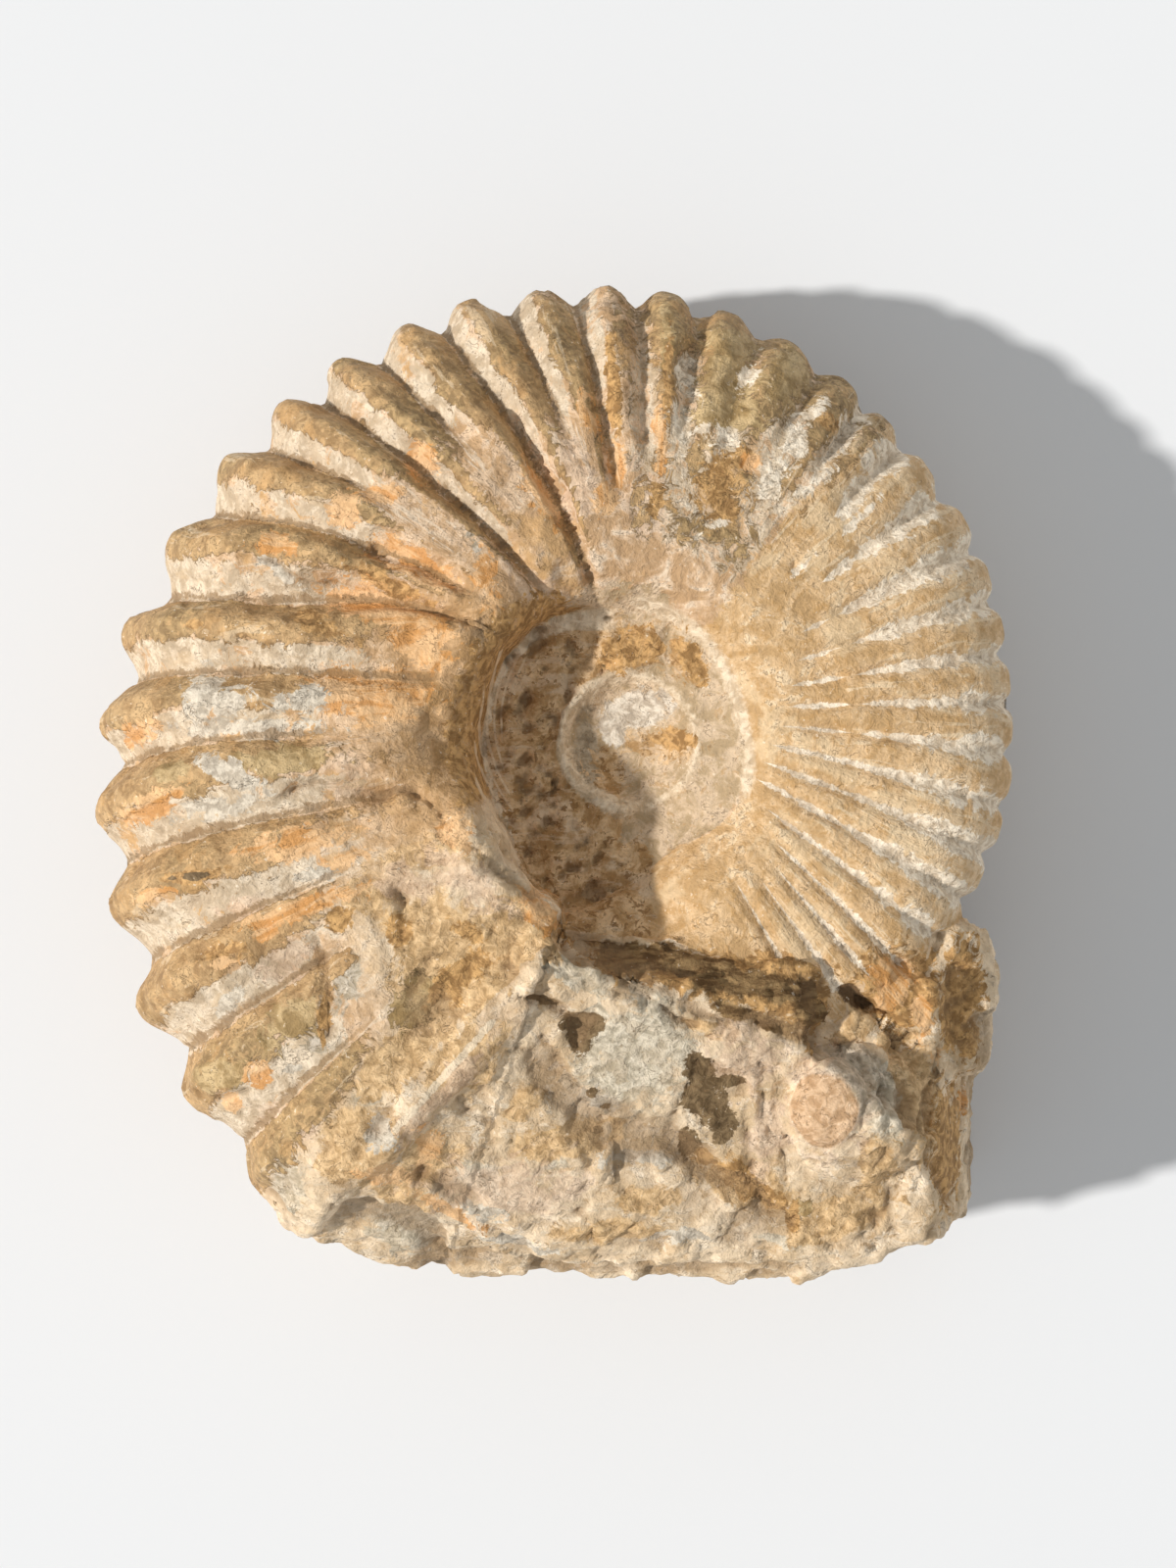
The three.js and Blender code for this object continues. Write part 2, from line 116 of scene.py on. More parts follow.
GROOVE_SHARE = table(
    (-108, 0.5), (30, 0.5), (70, 0.5), (110, 0.58), (150, 0.66), (232, 0.68), (252, 0.68),
)
GROOVE_NARROWNESS = table((-108, 3), (20, 2.6), (60, 1.8), (100, 1.4), (150, 1.15), (252, 1.1))
# For the groove in front of each rib: how far out on the flank it starts, and how deep it is
# on the inner flank. Where a groove starts far out, its rib is a short one between two long ones.
GROOVE_START = np.array([
    0.15, 0.15, 0.15, 0.15, 0.15, 0.15, 0.15, 0.15, 0.15, 0.18, 0.2, 0.26, 0.34, 0.45, 0.58, 0.68,
    0.74, 0.74, 0.64, 0.58, 0.48, 0.4, 0.56, 0.08, 0.6, 0.12, 0.6, 0.18, 0.06, 0.12, 0.38, 0.2,
    0.36, 0.42, 0.55,
])
INNER_DEPTH = np.array([1.0] * 20 + [1.1, 1.4, 1, 1.9, 1, 1.3, 1, 1.1, 1.9, 0.6, 0.8, 0.9, 0.7, 0.8, 1])
RIB_LEAN = table(
    (-108, 3), (-60, 3), (-20, 3.5), (10, 1.5), (40, -2), (75, -4), (92, -9), (106, -14),
    (124, -12.5), (134, -13), (143, -18), (152, -20), (158, -17), (165, -9.5), (171, -7), (184, 2),
    (195, 5.5), (207, 6), (232, 7), (252, 3),
)
RIB_ARCH = table(
    (-108, 0), (158, 0), (171, -1.5), (184, -4.5), (195, -3.5), (207, -2), (232, -1), (252, 0),
)

# Lumps and dips beside the navel and in its floor: place, rise and reach.
SHOULDER_LUMPS = (
    ((-18, 11.5), 4.4, 6), ((-24, -4.5), -3.3, 5), ((-20.5, -15), 4, 5),
    ((-14.5, -21.5), 1.4, 3.5), ((4.5, -26), -3, 5),
)
FLOOR_DIP = ((4.5, -12.5), 2.6, 4.5)

# The rock's faces: a height, where it is measured, and how fast it climbs along x and y.
MAIN_FACE = (62, (-10, -32), (-0.16, 0.33))
RIGHT_GROUND = (44.5, (30, -45), (-0.12, 0.2))
FRONT_BEVEL = (45, (0, -73), (0.05, 1.35))
RIGHT_BEVEL = (42.5, (44, -50), (-2.6, 0.15))
# How fast the back of the rock's crest falls towards the navel, along x.
BACK_SLOPE = table((-12, 7), (-5, 6.5), (1, 3), (10, 1.1), (18, 0.7), (28, 0.45), (40, 0.45))
# Upright sides: a point on each, and the way it faces.
BLOCK_SIDES = [
    ((0, -78.8), (-0.02, -1)), ((26, -78.6), (0.3, -1)), ((53.6, -50), (1, -0.02)),
    ((-43, -71), (-0.62, -1)), ((4, -30.5), (0.147, 1)), ((-18.5, -40.6), (-0.73, 0.684)),
]
CRUST_SIDES = [
    ((53.2, -40), (1, 0.02)), ((48, -28.5), (0.6, 1)), ((34, -40), (-1, -0.75)),
    ((44, -50), (-0.1, -1)),
]


def step(x, start, end):
    s = np.clip((x - start) / (end - start), 0, 1)
    return s * s * (3 - 2 * s)


def join(a, b, radius):
    overlap = np.maximum(radius - np.abs(a - b), 0) / radius
    return np.minimum(a, b) - overlap * overlap * radius / 4


def meet(a, b, radius):
    return -join(-a, -b, radius)


def wrap(azimuth):
    return MOUTH - np.mod(MOUTH - azimuth, 360)


def azimuth_of(x, y):
    return wrap(np.degrees(np.arctan2(y, x)))


def middle(x, y):
    return COIL_HEIGHT + COIL_SLOPE[0] * x + COIL_SLOPE[1] * y


def to_line(x, y, start, end):
    """Distance to a line between two points."""
    (ax, ay), (bx, by) = start, end
    along = ((x - ax) * (bx - ax) + (y - ay) * (by - ay)) / ((bx - ax) ** 2 + (by - ay) ** 2)
    along = np.clip(along, 0, 1)
    return np.hypot(x - ax - along * (bx - ax), y - ay - along * (by - ay))


def rib_phase(azimuth):
    """Number of the crest behind an azimuth, and how far it is to the next: 0.5 is the groove."""
    i = np.clip(np.searchsorted(RIBS, azimuth, side="right"), 1, len(RIBS) - 1)
    along = np.clip((azimuth - RIBS[i - 1]) / (RIBS[i] - RIBS[i - 1]), 0, 1)
    deepest = GROOVE_SHARE(azimuth)
    phase = np.where(along < deepest, 0.5 * along / deepest, 1 - 0.5 * (1 - along) / (1 - deepest))
    return i, np.where((azimuth > RIBS[0]) & (azimuth < RIBS[-1]), phase, 0)


def rib_turn(azimuth, share):
    s = np.clip(share, 0, 1)
    return RIB_LEAN(azimuth) * (1 - s) ** 1.3 + RIB_ARCH(azimuth) * (1 - s**5)


def rib_shown(number, share):
    """0 on the inner flank, where a rib hasn't begun, and 1 further out."""
    start = GROOVE_START[number]
    return step(share, np.maximum(start - 0.14, -0.02), start + 0.08)


def flank_share(x, y):
    azimuth = azimuth_of(x, y)
    inner = SHOULDER(azimuth)
    return (np.hypot(x, y) - inner) / (VENTER(azimuth) - inner)


def whorl(x, y, z, turn):
    scale = TURN_SCALE**turn
    radius, azimuth = np.hypot(x, y), azimuth_of(x, y)
    inner, outer = SHOULDER(azimuth) * scale, VENTER(azimuth) * scale
    crest = inner + CREST_SHARE * (outer - inner)
    across, up = radius - crest, z - middle(x, y)
    power = np.where(across > 0, OUTER_POWER(azimuth), INNER_POWER(azimuth))
    reach = np.where(across > 0, outer - crest, crest - inner)
    wide, high = np.abs(across) / reach, np.abs(up) / (HALF_WIDTH(azimuth) * scale)
    size = (wide**power + high**power) ** (1 / power)
    distance = np.hypot(across, up) * (1 - 1 / np.maximum(size, 1e-6))
    if turn:
        return distance
    share = (radius - inner) / (outer - inner)
    number, phase = rib_phase(azimuth - rib_turn(azimuth, share))
    inner_depth = 1 + (INNER_DEPTH[number] - 1) * (1 - step(share, 0.4, 0.8))
    depth = GROOVE_DEPTH(azimuth) * (0.04 + 0.96 * np.clip(share, 0, 1) ** 0.65)
    depth = depth * rib_shown(number, share) * inner_depth
    hollow = np.maximum(0.5 - 0.5 * np.cos(2 * np.pi * phase), 0) ** GROOVE_NARROWNESS(azimuth)
    return distance + depth * hollow


def beyond_mouth(x, y):
    return (x - VEIN_FROM[0]) * MOUTH_NORMAL[0] + (y - VEIN_FROM[1]) * MOUTH_NORMAL[1]


def lump(x, y, at, rise, reach):
    return rise * np.exp(-((x - at[0]) ** 2 + (y - at[1]) ** 2) / reach**2)


def plane(x, y, height, at, climb):
    return height + climb[0] * (x - at[0]) + climb[1] * (y - at[1])


def ramp(t):
    """0 before zero and t after it, with a soft bend."""
    return meet(0 * t, t, 4)


def coil_last(x, y, z):
    lift = sum(lump(x, y, *one) for one in SHOULDER_LUMPS)
    last, beyond = whorl(x, y, z - lift * step(z, 30, 46), 0), beyond_mouth(x, y)
    worn = meet(meet(last, z - 60.5 + 0.08 * beyond, 5), beyond - 0.5, 1.5)
    return np.where(azimuth_of(x, y) > 150, worn, last)


def navel_top(x, y):
    """The navel's floor: it climbs to each side, and has a round hollow with a raised rim."""
    across = np.hypot(x - HOLLOW_AT[0], y - HOLLOW_AT[1])
    floor = NAVEL_FLOOR + 0.28 * ramp(x - 5.5) + 0.3 * ramp(y - 6)
    floor = floor + 0.12 * ramp(-y - 14) + 0.1 * ramp(-x - 10) - lump(x, y, *FLOOR_DIP)
    rim = RIM_HEIGHT * np.exp(-(((across - HOLLOW_RADIUS) / RIM_WIDTH) ** 2))
    bowl = HOLLOW_FLOOR + 4 * (across / HOLLOW_RADIUS) ** 4 + 0.25 * ramp(x - 1)
    return join(floor + rim * (1 - 0.7 * step(x, -1, 6)), bowl, 1.2)


def coil_inner(x, y, z):
    radius = np.hypot(x, y)
    plug = meet(z - navel_top(x, y), middle(x, y) - 14 - z, 2)
    plug = meet(plug, radius - SHOULDER(azimuth_of(x, y)) - 5, 3)
    turns = join(whorl(x, y, z, 1), whorl(x, y, z, 2), SEAM_BLEND)
    return join(plug, meet(turns, z - NAVEL_FLOOR, 1), SEAM_BLEND)


def coil(x, y, z):
    return join(coil_last(x, y, z), coil_inner(x, y, z), SEAM_BLEND + 2.2 * step(x, 2, 12))


def block_top(x, y):
    back = 47.6 + BACK_SLOPE(x) * (-30.5 - y - 0.12 * x)
    foot = step(-30.2 - y - 0.1 * x, 0, 2) * step(x, -2, 4) * (1 - step(x, 24, 31))
    top = join(plane(x, y, *MAIN_FACE), back + 2.6 * foot, 2.5)
    top = join(top, 49.5 - 2.6 * (x - 26.5) + 3 * np.maximum(0, -46 - y), 1.5)
    top = meet(top, plane(x, y, *RIGHT_GROUND), 1.5)
    top = join(top, plane(x, y, *FRONT_BEVEL), 4)
    top = join(top, plane(x, y, *RIGHT_BEVEL), 3)
    boss = 5.5 * np.sqrt(np.maximum(1 - ((x - 32.5) / 10) ** 2 - ((y + 55) / 9.5) ** 2, 0))
    return top + boss + 0.6 * (1 - step(to_line(x, y, VEIN_FROM, VEIN_TO), 0, 1.6))


def cut_by(distance, x, y, sides, blend):
    for (px, py), (nx, ny) in sides:
        side = ((x - px) * nx + (y - py) * ny) / math.hypot(nx, ny)
        distance = meet(distance, side, blend)
    return distance


def block(x, y, z):
    body = meet((z - block_top(x, y)) / 1.1, -6 + 0.95 * (y + 50) - z, 2)
    body = cut_by(body, x, y, BLOCK_SIDES, 1.5)
    crust = (z - 41.5 + 0.5 * (x - 42) - 0.12 * (y + 38)) / 1.15
    crust = meet(crust, 14 - 0.5 * (x - 42) - z, 2)
    crust = meet(crust, 46.5 - np.hypot(x, y), 3)
    crust = cut_by(crust, x, y, CRUST_SIDES, 3.5)
    gap = np.maximum(to_line(x, y, (33.5, -39.5), (42.5, -48)) - 1.5, 36 - z)
    return meet(join(body, crust, 1.5), -gap, 1.2)


def fossil(points):
    x, y, z = points.T
    blend = BLOCK_BLEND + LEFT_BLEND * step(-x, 6, 11)
    return meet(join(coil(x, y, z), block(x, y, z), blend), -z, 0.6)


def slope_of(points, h=0.1):
    steps = np.eye(3) * h
    return np.stack([(fossil(points + d) - fossil(points - d)) / (2 * h) for d in steps], axis=1)


# ---- Random but repeatable roughness ----

CHANCE = np.random.RandomState(11)
SHUFFLE = CHANCE.permutation(4096)
LEANS = CHANCE.normal(size=(4096, 3))
LEANS /= np.linalg.norm(LEANS, axis=1, keepdims=True)
SPOTS = CHANCE.uniform(size=(4096, 3))


def cell_number(cell, salt):
    i, j, k = cell.astype(np.int64).T
    return SHUFFLE[(SHUFFLE[(SHUFFLE[(i + 131 * salt) & 4095] + j) & 4095] + k) & 4095]


def lumps(points, size, salt):
    """Smooth swelling, from about -1 to 1."""
    p = points / size
    corner = np.floor(p)
    f = p - corner
    fade = f**3 * (f * (f * 6 - 15) + 10)
    total = np.zeros(len(p))
    for corner_step in itertools.product((0, 1), repeat=3):
        lean = LEANS[cell_number(corner + corner_step, salt)]
        weight = np.prod(np.where(corner_step, fade, 1 - fade), axis=1)
        total += weight * ((f - corner_step) * lean).sum(1)
    return total * 1.8


def rough(points, size, salt, layers=4):
    """Swelling with finer swelling on it."""
    return sum(lumps(points, size / 2**n, salt + n) / 2**n for n in range(layers)) / 1.4


def shards(points, size, salt, tilt, bend):
    """Broken faces: each point lies on a small tilted plane, and how near the next plane is."""
    p = (points + bend[:, None]) / size
    corner = np.floor(p)
    nearest, second, height = np.full(len(p), 9.0), np.full(len(p), 9.0), np.zeros(len(p))
    for cell_step in itertools.product((-1, 0, 1), repeat=3):
        number = cell_number(corner + cell_step, salt)
        away = p - (corner + cell_step + 0.05 + 0.9 * SPOTS[number])
        distance = (away**2).sum(1)
        face = SPOTS[number, 0] * 2 - 1 + tilt * (away * LEANS[number]).sum(1)
        closer = distance < nearest
        second = np.where(closer, nearest, np.minimum(second, distance))
        nearest, height = np.where(closer, distance, nearest), np.where(closer, face, height)
    return height, np.sqrt(second) - np.sqrt(nearest)


def stretched(points, direction, along):
    """Points drawn together along a direction, so that lumps on them become streaks."""
    direction = np.array(direction, float) / np.linalg.norm(direction)
    part = points @ direction
    rest = points - part[:, None] * direction
    return rest + (part / along)[:, None] * direction


# ---- Shapes of marks, seen from above ----


def spot(x, y, at_x, at_y, half_width, half_height, turn=0):
    """A soft spot: 1 inside, 0.5 on its outline, 0 outside."""
    c, s = math.cos(math.radians(turn)), math.sin(math.radians(turn))
    u, v = x - at_x, y - at_y
    away = np.hypot((u * c + v * s) / half_width, (v * c - u * s) / half_height)
    return np.clip(1 - 0.5 * away, 0, 1)


def spots(x, y, places):
    return np.max([spot(x, y, *one) for one in places], axis=0)


def away_from(x, y, way):
    return np.min([to_line(x, y, a, b) for a, b in zip(way, way[1:])], axis=0)


def band(x, y, way, width):
    """A soft band along a way of points: 1 on it, 0.5 at its edges, 0 outside."""
    return np.clip(1 - 0.5 * away_from(x, y, way) / width, 0, 1)


def ridge(distance, width):
    """1 on a line and fading out beside it."""
    return np.exp(-((distance / width) ** 2))


# ---- Where things are ----


class Place:
    """What the form says about each point of the skin."""

    def __init__(self, points):
        self.points = points
        x, y, z = self.x, self.y, self.z = points.T
        self.azimuth, self.radius = azimuth_of(x, y), np.hypot(x, y)
        self.share = flank_share(x, y)
        last, inner, rock = coil_last(x, y, z), coil_inner(x, y, z), block(x, y, z)
        self.rock = 1 - step(rock - np.minimum(last, inner), -0.8, 0.8)
        self.navel = (1 - self.rock) * (1 - step(inner - last, -0.6, 0.6)) * step(z, 26, 30)
        self.shell = (1 - self.rock) * (1 - self.navel)
        turned = self.azimuth - rib_turn(self.azimuth, self.share)
        number, phase = self.rib, self.phase = rib_phase(turned)
        self.gap = np.radians(RIBS[number] - RIBS[number - 1]) * self.radius
        deepest = GROOVE_SHARE(turned)
        before, after = (0.5 - phase) * 2 * deepest, (phase - 0.5) * 2 * (1 - deepest)
        self.to_groove = np.where(phase < 0.5, before, after) * self.gap
        self.crest = np.abs(phase - 0.5) * 2
        self.ribbed = rib_shown(number, self.share)
        self.up = step(z, 18, 30)
        faded = step(self.azimuth, 200, 222) * (1 - step(self.share, 0.3, 0.55))
        self.weathered = self.shell * np.maximum(faded, step(self.azimuth, 229, 237))
        self.hollow = np.hypot(x - HOLLOW_AT[0], y - HOLLOW_AT[1])


# ---- Marks, in millimetres about the coil's axis ----

# Spots: the middle, the half width and half height, and a turn in degrees where there is one.
# The first ones are chips, where the shell has come off the ribs.
CHIPS = [
    (-47.5, 23, 2.8, 2), (-27.5, 37, 1.6, 2), (-38, 28, 2.4, 2.5), (-33.5, 21, 5, 1.8, -28),
    (-43.4, 32, 1.1, 0.8, -30), (-25.4, -12, 2.6, 1.7, -10), (-48, -28, 1.6, 1.6),
    (-54, -31, 3.6, 1.4, 5), (17.2, 35, 0.9, 1.5), (0.4, 31.5, 0.8, 0.8), (23.5, 20.8, 0.8, 0.8),
]
ORANGE_SPOTS = [
    (-47.5, 23, 2.6, 1.9), (-38, 28, 2.2, 2.4), (-33, 30.6, 3.4, 1.4, 15), (-27.5, 35.5, 2, 2.6),
    (-27.5, 20.5, 6.8, 1.7, -28), (-31, 14.2, 9, 2, -22), (-18.6, 19.5, 1.4, 4.4, 10),
    (-34, 3, 8.5, 3.4, -5), (-37, 15.6, 5, 1.8, -20), (-27, 9.6, 4, 2.4, -30), (-66, -2, 3, 1.6, 25),
    (-64, -12, 4.6, 1.8, 22), (-43, -16.5, 7.5, 2, 15), (-63.5, -24.3, 3.4, 1.1, 5),
    (-47.4, -28.6, 1.7, 1.9), (-42, -25, 8, 1.4, 15), (-53.5, -33.2, 2, 0.9), (-49, -48.3, 1.6, 1.9),
    (-53, -52.3, 1.6, 1.3), (-22.6, -15.6, 2.4, 2.7, 10), (-26.5, -58, 1.8, 2.6), (-32, -61.5, 4.5, 1.7),
    (-24, -67, 5, 1, -30), (-1.2, 34, 1.3, 3.6, 5), (-2.6, 29, 1.4, 2.4), (5.2, 38, 0.9, 5.5),
    (17.5, 35.5, 1.2, 1.6), (-11, 30, 1.6, 5.5, 25), (-4.6, 41, 1.3, 4, 12), (37.4, -36, 2.8, 3.2),
    (41.4, -41.6, 1.6, 3), (49, -55, 1.3, 2.2), (43.6, -47.6, 0.7, 1.6, -30), (-11, -26, 3.4, 1.6, -45),
    (-37, -19, 3, 1.3, 20),
]
WHITE_SPOTS = [
    (-55.5, 2.6, 4.6, 3.5), (-43.5, 2.2, 3.6, 2, 10), (-50, -1.7, 9, 1.2), (-52.5, -7.5, 4.6, 1.4, -25),
    (-54, -12.4, 6, 1.2, 12), (-41, -21, 2.6, 0.8), (-53, -39, 2.4, 1.2, 40), (-44, -47, 1.6, 0.7, 20),
    (-32.5, -55.5, 1.6, 2.2, 30), (-47, 19.4, 4, 0.7, -30), (-3.2, -52.3, 2.2, 2.2, -30),
    (2, -60.5, 5, 1), (-14, -72.4, 5, 0.8, -8), (8, -71.8, 4, 0.9, 5), (-19, -67.5, 2.4, 0.8, -20),
]
WEATHERED_BROWN = [
    (-37, -23, 7, 3.4, 20), (-24, -30, 6, 4, -30), (-27, -38, 7, 4, 40), (-40, -39, 3.4, 6, -25),
    (-50, -43, 4, 3, 20), (-19, -33, 4, 5, -40), (-33, -46, 5, 3, 40), (-48, -54, 5, 3, 20),
    (-13, -29, 5, 2.4, -40), (-30, -17, 7, 2.4, -15), (-27, -60, 5, 4.4), (-8, -57.4, 8, 2.6, 5),
    (-36, -57, 3.8, 4.4, 40), (-30, -65, 4.4, 2.2, -20), (41, -52, 2.8, 8, 10), (-14, -52, 3, 2, 30),
    (17, -64, 6.6, 3.6, -20), (31, -69, 7.6, 3.2, 15), (4, -66, 5, 1.8), (-20, -46, 3, 6, -40),
    (35, -62, 2.6, 5), (-2, -71, 7, 1.8), (22, -42, 4, 1.4, -20), (12, -42, 4, 1, -20),
    (32, -41.4, 3.6, 3.8, -40), (-30, -12.4, 8, 1.8, -5), (36.5, -46, 3, 1.4, -45),
]
CHALKY_SPOTS = [
    (13.5, 38.8, 2.2, 1.8), (23.5, 38.5, 2, 6, -28), (20.3, 32.6, 1.7, 3, 10), (27, 33, 3.4, 1.3, 35),
    (8, 40, 1.2, 4.4), (8.3, 29, 2.4, 0.7, -35), (9.2, 48, 1.1, 5), (17.5, 48, 1.3, 3.4, -30),
    (33.5, 29, 5, 0.9, 38), (31, 40, 1.4, 4, -35), (27, 43, 1.2, 4, -35), (10, 24.8, 1.2, 0.5),
    (13, 26.6, 2.4, 0.5), (24, 21, 2.4, 0.7, 40), (11, 40, 1.6, 0.9, 20), (34.6, 36, 1, 3, -35),
]
PINK_SPOTS = [
    (-25, 8, 5, 2.8, -30), (-36.5, -7, 4.4, 1.8), (-50, -26, 4, 2, 10), (-45.5, -32.5, 3.5, 3),
    (-29, -22, 4, 2), (16, -46.5, 4.5, 5), (19.5, -57, 3, 5), (27.6, -52.7, 5.3, 6.4),
    (-24.5, -50.5, 9, 1.7, 47), (-16, -64, 10, 4), (-46, -55, 4, 3), (-6.5, 32, 2.2, 6, 10),
    (3, 30, 2.2, 5), (-13, 18, 4, 2, -40), (-21, -22, 5, 2.4, -30), (-36, -10, 3, 1),
]
GREY_SPOTS = [
    (-30, -27.5, 1.5, 3, -20), (-20, -28, 2.9, 1.6, -25), (-37.5, -35, 2.4, 3.4, -20),
    (-34, -50.5, 3.4, 1.5, 20), (-41.5, -44, 2.2, 1.1), (-31, -47, 1.5, 2), (1.5, -46, 7, 8, 30),
    (-6, -34.5, 6.4, 2.2, -25), (36.6, -51.5, 3.2, 6.4, -12), (30.5, -47.4, 3, 1.3, -40),
    (-20, -62, 5, 2.4), (-30.5, -70.5, 5.4, 3.8, -20), (-9, -60, 2.2, 1.4), (-51.3, 24, 1.2, 2),
    (-40, 22, 2.6, 1.3, 20), (-46, -61.5, 3.4, 4), (4, -38.5, 4.5, 1.2, -40), (22, -72.6, 3, 0.9),
    (-44, 13, 3, 1, -10), (-20, 23, 1, 2, 30),
]
# Dark stains; those at the three-cornered socket and the thin wedge beside it are painted shadow.
DARK_STAINS_AND_SHADOWS = [
    (10.2, -47.6, 2.2, 2.8), (10.2, -51.4, 2, 3, 10), (13.8, -49.4, 2.6, 1), (12.2, -53.4, 1.7, 2.6, -20),
    (13.8, -56, 1.5, 2.2, -30), (9.2, -58.6, 1.5, 2.5), (-5.8, -41, 2.9, 1.5),
    (-6.4, -43.2, 1.7, 2.6, 10), (-11, -38, 2.8, 0.6, -12), (-60.6, -21.8, 1, 0.5),
    (-57, -21, 2, 0.6, 10), (-3.9, -50.8, 1, 0.8), (-2.4, -53.4, 0.8, 0.7), (-3.2, -57, 0.9, 0.5),
]
MOSS_SPOTS = [
    (24.5, -68, 2, 1.4), (17.5, -65, 3, 0.9, -35), (-45, -41, 4.6, 3, 35), (-54.5, -48, 4, 2.4),
    (14.5, 47.5, 4.6, 6.6, -15), (23, 48, 2.6, 5, -28), (14, 42.5, 6, 2.4), (6.4, 51, 1.2, 6.4),
    (-46, -6, 8, 1.9, 6), (-61, -7.5, 3, 1.5, 25), (-28, -38, 3, 4, -30),
]
# Brown patches; those behind the rock's crest, in the notch at its end and down the rock's right side are
# painted shade as well as brown.
BROWN_AND_SHADED_SPOTS = [
    (15.5, -63.2, 5.2, 1.8, -35), (11.6, -61, 3, 1.3, -30), (20, -66, 2.6, 1.6, -30),
    (23.6, -69, 1.2, 2.2), (1.2, 9.8, 4.8, 2.7, 12), (9.4, 8.4, 1.5, 3.6, 18), (6.6, -2.6, 3, 1.4, -10),
    (-58.5, -21.6, 4.6, 1, 8), (-30, -28.4, 1.6, 2.4), (-39.6, -40, 0.8, 3.4),
    (-21, -28.6, 2.6, 1.4, -20), (13, 32, 3, 5, -20), (16.5, 36, 1.5, 2), (14.5, 28.2, 2.2, 1.5),
    (6.6, 47, 1, 7), (-58, 12.8, 1.5, 0.8), (-40.5, 12.4, 5, 1.4, -20), (-31, 17.6, 6, 1.4, -25),
    (-57.5, -21, 4.6, 0.7, 8), (-54, -31.2, 3.8, 1.5, 5), (2, -32.6, 7, 1.4, -12),
    (17, -33.8, 13, 1.7, -5), (14, -38, 3.4, 1.3, -10), (26, -38.5, 2.4, 3), (38.5, -37.5, 6.4, 6, -20),
    (46.2, -60.5, 3.4, 9, 4), (47.5, -40, 3.6, 9), (-22, -35, 2.4, 5, -40), (-10, -27.5, 4, 1.2, -40),
    (-1.2, 46, 1, 8, 4), (4.6, 30, 0.8, 3), (29, 41, 3, 1, -50), (-37.5, -26.5, 1.6, 1.6),
    (10, -33.6, 10, 1.2, -6), (22, -35.6, 7, 1.4, -12), (26.6, -37.4, 2, 3), (26, -42, 1.6, 3.4),
]
NAVEL_PITS = [
    (-13.8, -6.1, 1.3, 1), (-14.2, -9.6, 1, 1.2), (-16.6, 8.6, 0.8, 1), (-9, -9.4, 0.7, 0.6),
    (-10.2, -15, 0.9, 1.2), (-7.4, -20.6, 1.3, 0.9), (-3.8, -23.6, 2.4, 1), (-1.8, -6.2, 0.7, 0.8),
    (-0.8, -11, 1.5, 1), (-10.8, 13.4, 0.9, 0.5), (-13.4, 2, 0.8, 1.4, 20), (-3.2, 7.4, 0.9, 0.5, 30),
]
ROUGH_NAVEL_TOP = [
    (1.4, 9.6, 5, 3, 12), (9, 8, 1.8, 4, 18),
]
BOSS = (27.7, -52.6, 5.2, 6.4)
SMOOTH_SPOTS = [BOSS, (46.4, -61, 3.2, 9, 4), (-30.5, -70.5, 5.4, 3.8, -20), (-46, -61.5, 3.4, 4, 10)]

CREVICE = [(31.5, -37.8), (34.2, -40.8), (37.4, -44), (40.8, -46.8)]
